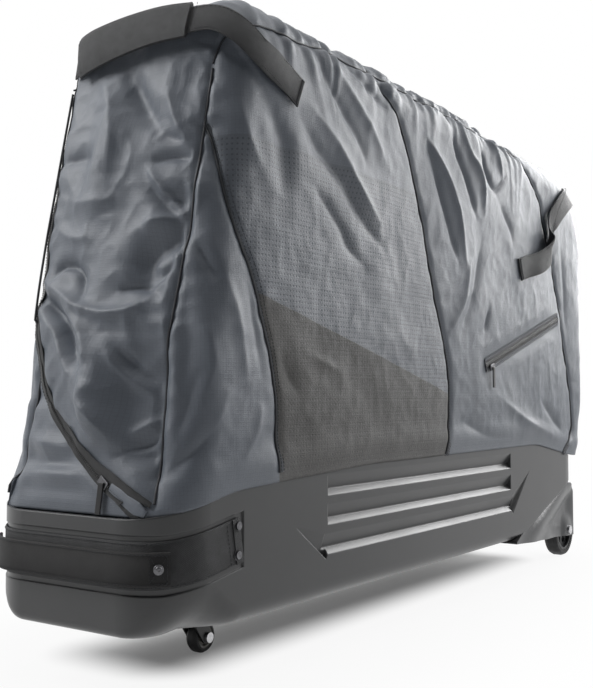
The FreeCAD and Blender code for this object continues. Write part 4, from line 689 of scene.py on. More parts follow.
class Look(Nodes):
    """A material under construction."""

    def __init__(self, name, rough=0.5, metal=0.0, specular=0.5, **more):
        self.material = bpy.data.materials.new(name)
        super().__init__(self.material)
        self.shader = self.tree.nodes["Principled BSDF"]
        self.set({"Roughness": rough, "Metallic": metal, "Specular IOR Level": specular, **more})

    def set(self, values):
        for name, value in values.items():
            self.put(self.shader.inputs[name], value)

    def times(self, a, b):
        return self.math("MULTIPLY", a, b)

    def plus(self, a, b):
        return self.math("ADD", a, b)

    def reach(self, a, b):
        """Length of a plane vector."""
        return self.math("SQRT", self.plus(*[self.times(way, way) for way in (a, b)]))

    def mix(self, share, a, b):
        node = self.add("Mix", {0: share}, data_type="RGBA")
        for index, colour in ((6, a), (7, b)):
            linked = isinstance(colour, bpy.types.NodeSocket)
            self.put(node.inputs[index], colour if linked else (*colour, 1))
        return node.outputs[2]

    def place(self):
        return self.add("TexCoord", {}).outputs["Object"]

    def split(self, vector):
        return self.add("SeparateXYZ", {"Vector": vector}).outputs

    def weave(self):
        """The weave's coordinates, together and apart."""
        uv = self.add("UVMap", {}, uv_map="cloth").outputs[0]
        return uv, *self.split(uv)[:2]

    def stretch(self, vector, scale):
        return self.add("Mapping", {"Vector": vector, "Scale": scale}).outputs[0]

    def noise(self, vector, scale, detail=2.0, rough=0.5):
        inputs = {"Vector": vector, "Scale": scale, "Detail": detail, "Roughness": rough}
        return self.add("TexNoise", inputs).outputs["Fac"]

    def cells(self, vector, scale, feature):
        inputs = {"Vector": vector, "Scale": scale}
        return self.add("TexVoronoi", inputs, feature=feature).outputs["Distance"]

    def ramp(self, value, low, high, start=0.0, end=1.0):
        inputs = {"Value": value, "From Min": low, "From Max": high, "To Min": start, "To Max": end}
        return self.add("MapRange", inputs, interpolation_type="SMOOTHSTEP").outputs[0]

    def centred(self, value, pitch):
        """Distance from the middle of a repeat, from 0 to 0.5."""
        share = self.math("FRACT", self.math("DIVIDE", value, pitch))
        return self.math("ABSOLUTE", self.math("SUBTRACT", share, 0.5))

    def bump(self, height, distance, strength=1.0):
        inputs = {"Height": height, "Distance": distance, "Strength": strength}
        self.set({"Normal": self.add("Bump", inputs).outputs[0]})

    def colour(self, value):
        self.set({"Base Color": value})
        return self


def cloth_look():
    """Ripstop nylon, with a dotted panel and a plain woven one between two seams."""
    sheen = {"Sheen Weight": 0.06, "Sheen Roughness": 0.4}
    look = Look("cover_cloth_look", rough=0.43, specular=0.5, **sheen)
    # Ripstop squares and threads
    uv, u, v = look.weave()
    lines = look.math("MAXIMUM", look.centred(u, 0.0044), look.centred(v, 0.0044))
    rip = look.ramp(lines, 0.40, 0.48)
    thread = look.times(*[look.math("SINE", look.times(way, 5700.0)) for way in (u, v)])
    cloudy = look.noise(uv, 14.0, 3.0)
    flecks = look.noise(look.stretch(uv, (1.0, 9.0, 1.0)), 160.0, 2.0)
    base = look.mix(look.ramp(cloudy, 0.3, 0.7), (0.122, 0.139, 0.167), (0.150, 0.168, 0.198))
    base = look.mix(look.times(rip, 0.35), base, (0.095, 0.107, 0.128))
    base = look.mix(look.times(look.ramp(flecks, 0.35, 0.75), 0.25), base, (0.19, 0.208, 0.238))
    # The middle panel: dots over its lower part, and plain cloth below a slanting edge
    middle = look.add("Attribute", {}, attribute_name="middle").outputs["Fac"]
    inside = look.math("GREATER_THAN", middle, 0.0)
    edge = look.math("SUBTRACT", 0.479, look.times(u, 0.2379))
    plain = look.times(inside, look.math("LESS_THAN", v, edge))
    dot_u, dot_v = look.centred(u, 0.0062), look.centred(v, 0.0062)
    dots = look.ramp(look.reach(dot_u, dot_v), 0.24, 0.16)
    zone = look.times(inside, look.math("LESS_THAN", v, 0.622))
    dots = look.times(dots, zone)
    base = look.mix(look.times(zone, 0.4), base, (0.078, 0.088, 0.104))
    base = look.mix(look.times(dots, 0.75), base, (0.045, 0.050, 0.060))
    slub = look.noise(look.stretch(uv, (1.0, 14.0, 1.0)), 90.0, 3.0, 0.6)
    slub_up = look.noise(look.stretch(uv, (14.0, 1.0, 1.0)), 90.0, 3.0, 0.6)
    slubs = look.plus(slub, slub_up)
    linen = look.mix(look.ramp(slubs, 0.75, 1.25), (0.085, 0.084, 0.082), (0.135, 0.132, 0.128))
    base = look.mix(plain, base, linen)
    # Relief
    height = look.plus(look.times(rip, 0.5), look.times(thread, 0.25))
    height = look.math("SUBTRACT", height, dots)
    height = look.plus(height, look.times(slubs, plain))
    look.bump(height, 0.00025, 0.7)
    rough = look.plus(look.ramp(cloudy, 0.2, 0.8, 0.40, 0.50), look.times(plain, 0.2))
    look.set({"Roughness": rough})
    return look.colour(base).material


def place_cloth(name, mesh, look):
    """The object of a cover half, with a hem."""
    obj = link(bpy.data.objects.new(name, mesh))
    mesh.materials.append(look)
    smoother = obj.modifiers.new("smoother", "SUBSURF")
    smoother.levels = smoother.render_levels = 0 if (name == "cover_flap_cloth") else 1
    hem = obj.modifiers.new("hem", "SOLIDIFY")
    hem.thickness = 0.002
    hem.offset = -1
    hem.use_rim_only = True
    return obj


cloth = cloth_look()
flap = place_cloth("cover_flap_cloth", near_cover, cloth)
fixed = place_cloth("cover_fixed_cloth", far_cover, cloth)
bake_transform(flap)
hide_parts("near_front_panel", "near_middle_panel", "near_rear_panel", "near_tail_panel",
            "front_end_panel", "top_gusset", "rear_end_panel", "near_skirt")
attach(fixed, "base")
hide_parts("far_front_panel", "far_middle_panel", "far_rear_panel", "far_tail_panel",
            "front_gusset", "rear_gusset")


# Forms laid on the cover and the tub

near_skin, far_skin = surface_of(near_cover), surface_of(far_cover)
whole_skin = surface_of(near_cover, far_cover)


class Heap:
    """Small forms gathered into one mesh."""

    def __init__(self):
        self.points, self.faces, self.uvs = [], [], []

    def add(self, rings, uvs=None):
        """A form over rings of points, closed at both ends."""
        count, size = rings.shape[:2]
        start = sum(len(p) for p in self.points)
        self.points.append(rings.reshape(-1, 3))
        self.uvs.append(np.zeros((count * size, 2)) if uvs is None else uvs.reshape(-1, 2))
        for i in range(count - 1):
            for k in range(size):
                a, b = start + i * size + k, start + i * size + (k + 1) % size
                self.faces.append((a, b, b + size, a + size))
        last = start + (count - 1) * size
        self.faces.append(tuple(range(start, start + size))[::-1])
        self.faces.append(tuple(range(last, last + size)))

    def make(self, name, look, body=None, slot=None):
        """The object; without a body its place is baked into its points and it is attached to no body."""
        obj = mesh_object(name, np.concatenate(self.points), self.faces, look, np.concatenate(self.uvs))
        bm = bmesh.new()
        bm.from_mesh(obj.data)
        bmesh.ops.recalc_face_normals(bm, faces=bm.faces)
        bm.to_mesh(obj.data)
        bm.free()
        obj.data.set_sharp_from_angle(angle=math.radians(50))
        if body is None:
            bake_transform(obj)
        else:
            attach(obj, body)
        return obj


def settle(line, tree, lift=0.0, soften=7):
    """A line laid on a surface and lifted off it, with the normals there."""
    hits = [tree.find_nearest(Vector(p)) for p in line]
    normals = unit(softened(np.array([hit[1] for hit in hits]), soften))
    return np.array([hit[0] for hit in hits]) + normals * np.asarray(lift)[..., None], normals


def lay(line, plain, skin, lift):
    """A line moved straight out of the plain form onto the dressed cloth, with the plain form's normals."""
    normals = unit(softened(np.array([plain.find_nearest(Vector(p))[1] for p in line]), 4))
    spots = []
    for spot, normal in zip(line, normals):
        hit = skin.ray_cast(Vector(spot + normal * 30), Vector(-normal), 60)[0]
        spots.append(spot if hit is None else np.array(hit))
    return softened(np.array(spots), 1) + normals * lift, normals


def frames(line, normals):
    """Directions along a line, out of the surface and to the side."""
    ahead = unit(np.gradient(line, axis=0))
    out = unit(normals - (normals * ahead).sum(1)[:, None] * ahead)
    return ahead, out, np.cross(ahead, out)


def ribbon(heap, line, normals, width, thick, shift=0.0, soft=0.3):
    """A flat strip with soft edges along a line; shift moves it to the side."""
    _, out, side = frames(line, normals)
    half, edge = np.broadcast_to(width, (len(line),)) / 2, thick * soft
    section = [(-1, 0, -0.2), (-1, 1, -0.5), (0, 0, -0.55), (1, -1, -0.5), (1, 0, -0.2),
               (1, 0, 0.2), (1, -1, 0.5), (0, 0, 0.55), (-1, 1, 0.5), (-1, 0, 0.2)]
    along = marks_of(line)
    rings, uvs = [], []
    for reach, back, high in section:
        across = half * reach + edge * back
        rings.append(line + side * (across + shift)[:, None] + out * (high * thick))
        uvs.append(np.stack([along, across], 1) * MM)
    heap.add(np.stack(rings, 1), np.stack(uvs, 1))


def tube(heap, line, radius, normals, size=8):
    """A round cord along a line."""
    _, out, side = frames(line, normals)
    angles = np.linspace(0, 2 * math.pi, size, endpoint=False)
    rings = [line + radius * (math.cos(a) * side + math.sin(a) * out) for a in angles]
    heap.add(np.stack(rings, 1))


def stitches(heap, line, normals, pitch=4.2, length=2.8, thick=0.55, shift=0.0):
    """Threads that rise between needle holes along a line."""
    count = max(2, int(length_of(line) / pitch))
    line, normals = resample(line, count * 3 + 1), resample(normals, count * 3 + 1)
    ahead, out, side = frames(line, normals)
    for i in range(1, count * 3, 3):
        spot = line[i] + side[i] * shift
        rings = []
        for reach, high in ((-0.5, -0.3), (-0.3, 0.5), (0.3, 0.5), (0.5, -0.3)):
            middle = spot + ahead[i] * reach * length + out[i] * high * thick
            rings.append([middle + side[i] * a * thick + out[i] * b * thick for a, b in
                          ((-0.5, -0.4), (0.5, -0.4), (0.35, 0.4), (-0.35, 0.4))])
        heap.add(np.array(rings))


def teeth(heap, line, normals, sign, pitch=2.7):
    """One side of a zip's coil."""
    section = ((-0.8, -0.5), (0.8, -0.5), (0.6, 0.6), (-0.6, 0.6))
    count = int(length_of(line) / pitch)
    line, normals = resample(line, count), resample(normals, count)
    ahead, out, side = frames(line, normals)
    for spot, a, o, b in zip(line, ahead, out, side):
        rings = []
        for reach, high in ((0.2, 0.9), (1.6, 1.1), (2.9, 0.6)):
            middle = spot + b * sign * reach + o * high
            rings.append([middle + a * u + o * v for u, v in section])
        heap.add(np.array(rings))


def webbing_look(name, dark, light, sheen=0.12):
    """Woven strap: ribs across it and a little wear."""
    look = Look(name, rough=0.62, specular=0.35, **{"Sheen Weight": sheen, "Sheen Roughness": 0.5})
    uv, u, v = look.weave()
    twill = look.plus(look.times(u, 4200.0), look.times(v, 2600.0))
    ribs = look.math("SINE", twill)
    cross = look.math("SINE", look.times(v, 5200.0))
    weave = look.times(ribs, cross)
    worn = look.noise(uv, 60.0, 4.0, 0.6)
    shade = look.plus(look.ramp(weave, -1.0, 1.0, 0.0, 0.5), look.ramp(worn, 0.3, 0.75, 0.0, 0.5))
    look.bump(weave, 0.0003, 0.6)
    return look.colour(look.mix(shade, dark, light)).material


def thread_look(name, dark, light):
    """Spun thread or piping."""
    look = Look(name, rough=0.6)
    fuzz = look.noise(look.place(), 900.0, 2.0)
    return look.colour(look.mix(look.ramp(fuzz, 0.3, 0.7), dark, light)).material


def moulded_look(name, dark, light, rough, grain=0.00012, scale=900.0, edge=0.0008):
    """Moulded plastic with soft edges, a fine leathery grain and faint scuffs."""
    look = Look(name, rough=rough, specular=0.45)
    place = look.place()
    cells = look.cells(place, scale, "SMOOTH_F1")
    fine = look.noise(place, scale * 2.2, 2.0)
    cloudy = look.noise(place, 5.0, 4.0, 0.6)
    scuffs = look.noise(look.stretch(place, (1.0, 1.0, 2.5)), 24.0, 3.0, 0.55)
    scuffed = look.ramp(scuffs, 0.55, 0.85, 0.0, 0.22)
    shade = look.plus(look.ramp(cloudy, 0.3, 0.7, 0.1, 0.6), scuffed)
    shade = look.plus(shade, look.ramp(cells, 0.0, 0.7, -0.08, 0.08))
    look.bump(look.plus(cells, look.times(fine, 0.4)), grain, 0.5)
    rounded = look.add("Bevel", {"Radius": edge}, samples=12)
    look.put(look.shader.inputs["Normal"].links[0].from_node.inputs["Normal"], rounded.outputs[0])
    look.set({"Roughness": look.ramp(cloudy, 0.3, 0.7, rough - 0.03, rough + 0.05)})
    return look.colour(look.mix(shade, dark, light)).material


def metal_look(name, dark, light, rough, metal=1.0):
    """Brushed or cast metal with fine scratches."""
    look = Look(name, rough=rough, metal=metal)
    place = look.place()
    brushed = look.noise(look.stretch(place, (1.0, 12.0, 1.0)), 260.0, 4.0, 0.6)
    stains = look.noise(place, 30.0, 4.0)
    look.bump(brushed, 0.00005, 0.5)
    look.set({"Roughness": look.ramp(stains, 0.3, 0.7, rough - 0.06, rough + 0.1)})
    return look.colour(look.mix(look.ramp(brushed, 0.3, 0.7), dark, light)).material


def foam_look(name, dark, light):
    """Closed foam with fine pores."""
    look = Look(name, rough=0.85, specular=0.2)
    place = look.place()
    pores = look.cells(place, 1100.0, "F1")
    look.bump(pores, 0.0004, 0.7)
    return look.colour(look.mix(look.ramp(pores, 0.0, 0.6), dark, light)).material


def rubber_look(name):
    """Dusty black rubber."""
    look = Look(name, rough=0.6, specular=0.4)
    place = look.place()
    dust = look.noise(place, 90.0, 5.0, 0.6)
    fine = look.noise(place, 1400.0, 2.0)
    look.bump(fine, 0.0001, 0.6)
    look.set({"Roughness": look.ramp(dust, 0.3, 0.75, 0.5, 0.75)})
    dusty = look.ramp(dust, 0.45, 0.8)
    return look.colour(look.mix(dusty, (0.012, 0.012, 0.013), (0.04, 0.039, 0.037))).material


webbing = webbing_look("webbing_look", (0.016, 0.0165, 0.018), (0.050, 0.051, 0.054))
grab_webbing = webbing_look("grab_webbing_look", (0.007, 0.0068, 0.007), (0.020, 0.0195, 0.020), 0.02)
zip_tape = webbing_look("zip_tape_look", (0.010, 0.0105, 0.0115), (0.034, 0.035, 0.037))
thread = thread_look("thread_look", (0.012, 0.013, 0.016), (0.032, 0.034, 0.040))
piping = thread_look("piping_look", (0.010, 0.011, 0.014), (0.024, 0.026, 0.031))
zip_black = moulded_look("zip_teeth_look", (0.010, 0.010, 0.011), (0.03, 0.03, 0.032), 0.35, 0.00003)
tub_plastic = moulded_look(
    "tub_look", (0.050, 0.051, 0.053), (0.074, 0.075, 0.077), 0.32, 0.00008, edge=0.0028)
housing = moulded_look(
    "housing_look", (0.038, 0.040, 0.043), (0.056, 0.058, 0.062), 0.30, 0.00004, edge=0.0015)
black_plastic = moulded_look(
    "black_plastic_look", (0.014, 0.014, 0.015), (0.035, 0.035, 0.037), 0.4, 0.00005)
fork_black = moulded_look("fork_look", (0.010, 0.010, 0.011), (0.028, 0.028, 0.030), 0.32, 0.00003)
core_dark = moulded_look("core_dark_look", (0.020, 0.021, 0.023), (0.05, 0.051, 0.054), 0.42, 0.00004)
core_pale = moulded_look("core_pale_look", (0.34, 0.33, 0.31), (0.47, 0.46, 0.44), 0.42, 0.00004)
steel = metal_look("steel_look", (0.50, 0.50, 0.51), (0.68, 0.68, 0.70), 0.28)
gunmetal = metal_look("gunmetal_look", (0.10, 0.10, 0.105), (0.19, 0.19, 0.20), 0.34)
rail = metal_look("rail_look", (0.38, 0.385, 0.40), (0.55, 0.555, 0.57), 0.36)
foam = foam_look("foam_look", (0.012, 0.012, 0.013), (0.035, 0.035, 0.037))
tyre = rubber_look("tyre_look")
CAD_LOOKS = {
    "tub_plastic": tub_plastic, "foam_black": foam, "rail_metal": rail, "black_plastic": black_plastic,
    "bright_steel": steel, "webbing_black": webbing, "fork_black": fork_black, "core_pale": core_pale,
    "core_dark": core_dark, "tyre_rubber": tyre, "housing_grey": housing, "cover_cloth": cloth,
    "panel_cloth": cloth, "zip_black": zip_black,
}
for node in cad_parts.values():
    for place in node.material_slots:
        place.material = CAD_LOOKS[place.material.name.split(".")[0]]
    node.data.set_sharp_from_angle(angle=math.radians(35))
for name in ("main_slider", "pocket_slider", "belt_screws"):
    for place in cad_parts[name].material_slots:
        place.material = gunmetal

# Seams: dark piping, a felled strip beside it and rows of thread
for side_name, plain, skin, seams in (
    ("near", near_tree, near_skin, near_seams), ("far", far_tree, far_skin, far_seams),
):
    cords, strips, threads = Heap(), Heap(), Heap()
    for index, seam in enumerate(seams):
        line, normals = lay(resample(seam, int(length_of(seam) / 5)), plain, skin, 0.7)
        tube(cords, line, (1.5, 1.5, 1.4, 1.5, 1.2)[index], normals)
        if index < 3:
            ribbon(strips, line, normals, 7.0, 1.1, -5.0)
            stitches(threads, line + normals * 0.7, normals, shift=-3.0)
            stitches(threads, line + normals * 0.7, normals, shift=-7.4)
    body = None if side_name == "near" else "base"
    cords.make(f"seam_piping_{side_name}", piping, body, "zip_black")
    strip = webbing_look(f"strip_look_{side_name}", (0.06, 0.066, 0.078), (0.1, 0.11, 0.128))
    strips.make(f"seam_strips_{side_name}", strip, body, "cover_cloth")
    threads.make(f"seam_threads_{side_name}", thread, body, "zip_black")

# Main zip: two tapes with a coil each
for sign, name, skin, node in (
    (-1, "flap", near_skin, "main_zip_teeth_flap"), (1, "fixed", far_skin, "main_zip_teeth_fixed"),
):
    line, normals = settle(resample(ZIP, 560), skin, 0.9, 9)
    side = frames(line, normals)[2]
    tape, coil = Heap(), Heap()
    beside, beside_normals = settle(line + side * sign * 8.2, skin, 1.0, 9)
    ribbon(tape, beside, beside_normals, 16.0, 1.2)
    stitches(tape, beside + beside_normals * 0.8, beside_normals, shift=sign * 4.6)
    teeth(coil, line, normals, sign)
    body = None if sign < 0 else "base"
    tape.make(f"zip_tape_{name}", zip_tape, body, "zip_black")
    coil = coil.make(f"zip_coil_{name}", zip_black, body, "zip_black")
    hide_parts(node)

# Lower end of the main zip: a dark placket beside it, and a tongue of cloth below the slider
PLACKET_UPPER = [(70, 426), (82, 448), (97, 465), (112, 477), (128, 491), (151, 506)]
PLACKET_LOWER = [(113, 493), (124, 506), (133, 515), (140, 517)]
TONGUE_MIDDLE = [(112, 487), (123, 497), (136, 508), (146, 515)]
placket, tongue = Heap(), Heap()
for heap, pixels, thick, shares, widths in (
    (placket, PLACKET_UPPER, 1.8, (0, 0.25, 0.8, 1), (3, 9, 10, 6)),
    (placket, PLACKET_LOWER, 1.6, (0, 0.7, 1), (8, 8, 4)),
    (tongue, TONGUE_MIDDLE, 2.2, (0, 0.3, 0.8, 1), (9, 13, 14, 7)),
):
    line, normals = settle(seen(pixels, 40, whole_skin), whole_skin, thick)
    ribbon(heap, line, normals, np.interp(np.linspace(0, 1, 40), shares, widths), thick, soft=0.5)
placket.make("zip_placket", zip_tape, None, "zip_black")
tongue.make("zip_tongue", cloth, None, "cover_cloth")

# Front belt and grab handle: sizes, where they end along the sides, and their heights
NOSE_ROUND, TUB_HALF = 70, 145
BELT_WIDE, BELT_THICK, BELT_END, BELT_Z = 50, 2.6, 122, 147
BELT_TURN, BELT_CLIMB, BELT_BEND = 18, 18 / 104, 8
BELT_STEP, BELT_LAP = 4, 16
GRAB_WIDE, GRAB_THICK, GRAB_END, GRAB_Z = 36, 3.4, 22, 145
SCREW_X, SCREW_Y, SCREW_Z = 7.0, 129, 146


def nose_line(rear, ahead, out):
    """Half of the plan round the nose at a distance out, from the near side's rear end to the middle."""
    side = TUB_HALF + out
    return rounded_line([(rear, -side), (-out - ahead, -side, NOSE_ROUND + out), (-out - ahead, 0)], 3)


def both_halves(half):
    """The half line and its mirror image, as one line."""
    return np.concatenate([half, (half * np.array([1, -1]))[-2::-1]])


def nose_band(rear, ahead, out):
    """Points and normals of a strap round the nose, which climbs along the sides as the belt does."""
    plan = both_halves(nose_line(rear, ahead, out))
    plan = resample(plan, int(length_of(plan) / BELT_STEP))
    climb = BELT_CLIMB * np.logaddexp(0, (plan[:, 0] - BELT_TURN) / BELT_BEND) * BELT_BEND
    points = np.stack([plan[:, 0], plan[:, 1], BELT_Z + climb], 1)
    run = np.gradient(plan, axis=0)
    return points, np.stack([-run[:, 1], run[:, 0], np.zeros(len(run))], 1)


def over(line, normals, first, last, a, b, lift):
    """A line over a strap from share first at offset a to share last at offset b, with its normals."""
    _, out, side = frames(line, normals)
    shares = np.linspace(first, last, 24)
    marks = np.linspace(0, 1, len(line))
    place, up, beside = (read_off(shares, marks, rows) for rows in (line, out, side))
    return place + beside * np.linspace(a, b, 24)[:, None] + up * lift, up


def box_stitch(heap, line, normals, first, last, half, lift):
    """A sewn box with a cross in it."""
    for start, end, a, b in (
        (first, last, -half, -half), (first, last, half, half), (first, first, -half, half),
        (last, last, -half, half), (first, last, -half, half), (first, last, half, -half),
    ):
        stitches(heap, *over(line, normals, start, end, a, b, lift), pitch=3.2, length=2.4)


def bar_tack(heap, line, normals, share, half, lift):
    """A dense bar of thread across a strap."""
    for step in (-1.4, 0, 1.4):
        place, up = over(line, normals, share, share, -half, half, lift)
        ahead = frames(line, normals)[0][int(share * (len(line) - 1))]
        stitches(heap, place + ahead * step, up, pitch=1.9, length=2.0, thick=0.9)


def screw(heap, place, axis):
    """A round head on a washer, with a socket in it."""
    axis = axis / np.linalg.norm(axis)
    side = np.cross(axis, (0, 0, 1))
    side /= np.linalg.norm(side)
    up = np.cross(side, axis)
    turn = np.linspace(0, 2 * math.pi, 20, endpoint=False)
    washer = ((5.4, -1), (5.4, 0.4), (5.0, 0.8), (3.9, 0.8))
    head = ((3.9, 0.7), (3.8, 1.6), (3.0, 2.4), (1.7, 2.6), (1.5, 1.4))
    for steps in (washer, head):
        heap.add(np.array([
            [place + axis * high + reach * (math.cos(a) * side + math.sin(a) * up) for a in turn]
            for reach, high in steps
        ]))


def edge_threads(heap, line, normals, lift, half):
    """Rows of thread along both edges of a strap."""
    for shift in (-half, half):
        stitches(heap, line + unit(normals) * lift, normals, shift=shift)


belt, belt_threads, belt_screws = Heap(), Heap(), Heap()
line, normals = nose_band(BELT_END, 0, -0.3)
ribbon(belt, line, normals, BELT_WIDE, BELT_THICK)
lap = BELT_LAP // BELT_STEP
for part in (slice(0, lap), slice(-lap, None)):
    ribbon(belt, line[part] + unit(normals[part]) * 1.8, normals[part], BELT_WIDE, 1.4)
edge_threads(belt_threads, line, normals, 1.5, 22.5)
for share in (0.045, 0.955):
    place, up = over(line, normals, share, share, -23, 23, 1.6)
    stitches(belt_threads, place, up)
belt = belt.make("front_belt_webbing", webbing, "base", "webbing_black")
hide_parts("front_belt")
grab = Heap()
line, normals = nose_band(NOSE_ROUND, 6, 3.0)
ahead = line[:, 0] < GRAB_END
line, normals = line[ahead], normals[ahead]
line[:, 2] = GRAB_Z
ribbon(grab, line, normals, GRAB_WIDE, GRAB_THICK)
edge_threads(belt_threads, line, normals, 2.0, 15.5)
for first, last in ((0.012, 0.075), (0.925, 0.988)):
    box_stitch(belt_threads, line, normals, first, last, 14, 2.0)
for sign in (-1, 1):
    place = np.array([SCREW_X, sign * SCREW_Y, SCREW_Z])
    screw(belt_screws, place, np.array([-0.62, sign * 0.78, 0]))
belt_screws.make("grab_screws", gunmetal, "base", "bright_steel")
grab = grab.make("front_grab_webbing", grab_webbing, "base", "webbing_black")
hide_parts("front_grab_handle")
belt_threads.make("front_belt_threads", thread, "base", "webbing_black")


# Lift handle at the front and carry handle at the rear

def keyed(keys, count):
    """Points and normals along a smooth line through (point, normal) keys."""
    points, normals = (np.array([key[k] for key in keys], float) for k in (0, 1))
    marks = marks_of(points)
    return curve(points, count), unit(read_off(np.linspace(0, marks[-1], count), marks, normals))


def clear_of(line, skin, least):
    """The line moved out where it is nearer to the cloth than least."""
    moved = []
    for spot in line:
        hit, normal, _, _ = skin.find_nearest(Vector(spot))
        short = least - (Vector(spot) - hit).dot(normal)
        moved.append(spot + np.array(normal) * max(short, 0))
    return softened(np.array(moved), 3)


def lying(place, lift, tree):
    """A key on a surface above a place (x, y, z)."""
    spot, normal = settle(np.array([place], float), tree, lift, 0)
    return spot[0], normal[0]


STRAP_WIDE, STRAP_THICK = 40, 2.2
GRIP_WIDE, GRIP_THICK, GRIP_ENDS = 52, 8.5, (-80, 90)


def strap(heap, threads, line, normals, tack):
    """A webbing strap with a bar tack at share tack and threads along its edges."""
    ribbon(heap, line, normals, STRAP_WIDE, STRAP_THICK)
    bar_tack(threads, line, normals, tack, 18.5, 1.4)
    edge_threads(threads, line, normals, 1.25, 17)


straps_near, straps_far, strap_threads, far_threads = Heap(), Heap(), Heap(), Heap()
lift_keys = [
    lying((232, -147, 690), 1.6, near_skin), lying((205, -147, 702), 3.5, near_skin),
    lying((176, -146, 713), 5, near_skin), ((150, -149, 724), (-0.2, -0.95, 0.15)),
    ((131, -136, 744), (-0.45, -0.8, 0.3)), ((117, -110, 761), (-0.7, -0.5, 0.4)),
    ((107, -78, 761), (-0.9, -0.12, 0.4)), ((99, -36, 761), (-0.95, 0, 0.3)),
    ((93, 12, 756), (-0.97, 0, 0.2)), ((91, 58, 749), (-0.98, 0.05, 0.1)),
    ((94, 84, 744), (-0.9, 0.35, 0.05)), ((106, 106, 741), (-0.6, 0.78, 0.1)),
]
line, normals = keyed(lift_keys, 110)
line = clear_of(line, near_skin, 2.6)
strap(straps_near, strap_threads, line, normals, 0.015)
grip = Heap()
sleeve = (line[:, 1] > GRIP_ENDS[0]) & (line[:, 1] < GRIP_ENDS[1])
ribbon(grip, line[sleeve] + normals[sleeve] * 0.6, normals[sleeve], GRIP_WIDE, GRIP_THICK, soft=0.8)
grip = grip.make("lift_grip_sleeve", webbing, "cover_flap", "webbing_black")
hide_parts("lift_grip")
for share in (0.47, 0.93):
    stitches(strap_threads, *over(line, normals, share, share, -23, 23, 4.8))
rear_keys = [
    lying((909, -147, 546), 1.6, near_skin), ((944, -151, 556), (0, -1, 0)),
    ((985, -159, 566), (-0.1, -1, 0.1)), ((1026, -162, 582), (0.1, -1, 0)),
    ((1050, -162, 600), (0.5, -0.8, 0.1)),
    ((1057, -156, 618), (0.6, -0.7, -0.3)), ((1058, -153, 636), (0.2, -1, -0.2)),
    ((1076, -155, 660), (0, -1, 0.1)), ((1112, -158, 690), (0.1, -1, 0.2)),
    ((1158, -153, 714), (0.25, -0.9, 0.35)), ((1206, -134, 728), (0.5, -0.6, 0.6)),
    ((1240, -96, 722), (0.8, -0.3, 0.5)), ((1250, -40, 714), (0.85, 0, 0.5)),
    ((1250, 40, 714), (0.85, 0, 0.5)), ((1240, 100, 718), (0.75, 0.3, 0.5)),
]
line, normals = keyed(rear_keys, 130)
line = clear_of(line, near_skin, 2.6)
strap(straps_near, strap_threads, line, normals, 0.012)
FAR_STRAPS = (
    [((122, 122, 765), 2.5), ((146, 138, 745), 3), ((178, 147, 722), 3), ((208, 147, 704), 2.5),
     ((234, 147, 686), 1.6)],
    [((1212, 126, 724), 2.5), ((1150, 146, 692), 4), ((1060, 147, 640), 6), ((980, 147, 592), 4),
     ((909, 147, 546), 1.6)],
)
for places in FAR_STRAPS:
    line, normals = keyed([lying(place, lift, far_skin) for place, lift in places], 70)
    strap(straps_far, far_threads, line, normals, 0.985)
straps = straps_near.make("strap_webbing_near", webbing, "cover_flap", "webbing_black")
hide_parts("lift_strap_near", "rear_strap_near")
straps = straps_far.make("strap_webbing_far", webbing, "base", "webbing_black")
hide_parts("lift_strap_far", "rear_strap_far")
strap_threads.make("strap_threads_near", thread, "cover_flap", "webbing_black")
far_threads.make("strap_threads_far", thread, "base", "webbing_black")

# Pocket zip with its sewn border, and the pouch behind it
TAPE_WIDE, WELT_WIDE, WELT_OUT, BORDER_OUT = 13, 4.2, 8.2, 12.4
pocket, welt, coil, threads = Heap(), Heap(), Heap(), Heap()
line = resample(POCKET, 90)
normals = np.tile((0.0, -1, 0), (90, 1))
line[:, 1] = -COVER_HALF - 0.7
ribbon(pocket, line, normals, TAPE_WIDE, 0.9)
for shift in (-WELT_OUT, WELT_OUT):
    ribbon(welt, line - np.array([0, 0.1, 0]), normals, WELT_WIDE, 1.8, shift)
for share in (0.004, 0.996):
    ribbon(welt, *over(line, normals, share, share, -10, 10, 0.1), 3.2, 1.9)
for sign in (-1, 1):
    teeth(coil, line + np.array([0, -0.1, 0]), normals, sign, 2.2)
    stitches(threads, line - np.array([0, 0.2, 0]), normals, shift=sign * BORDER_OUT)
for share in (-0.012, 1.012):
    stitches(threads, *over(line, normals, share, share, -12, 12, 0.3))
pocket = pocket.make("pocket_tape", zip_tape, "cover_flap", "zip_black")
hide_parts("pocket_zip_tape")
welt.make("pocket_welt", bpy.data.materials["strip_look_near"], "cover_flap", "cover_cloth")
coil.make("pocket_coil", zip_black, "cover_flap", "zip_black")
threads.make("pocket_threads", thread, "cover_flap", "zip_black")


POUCH_LONG, POUCH_DEEP = 335, 104


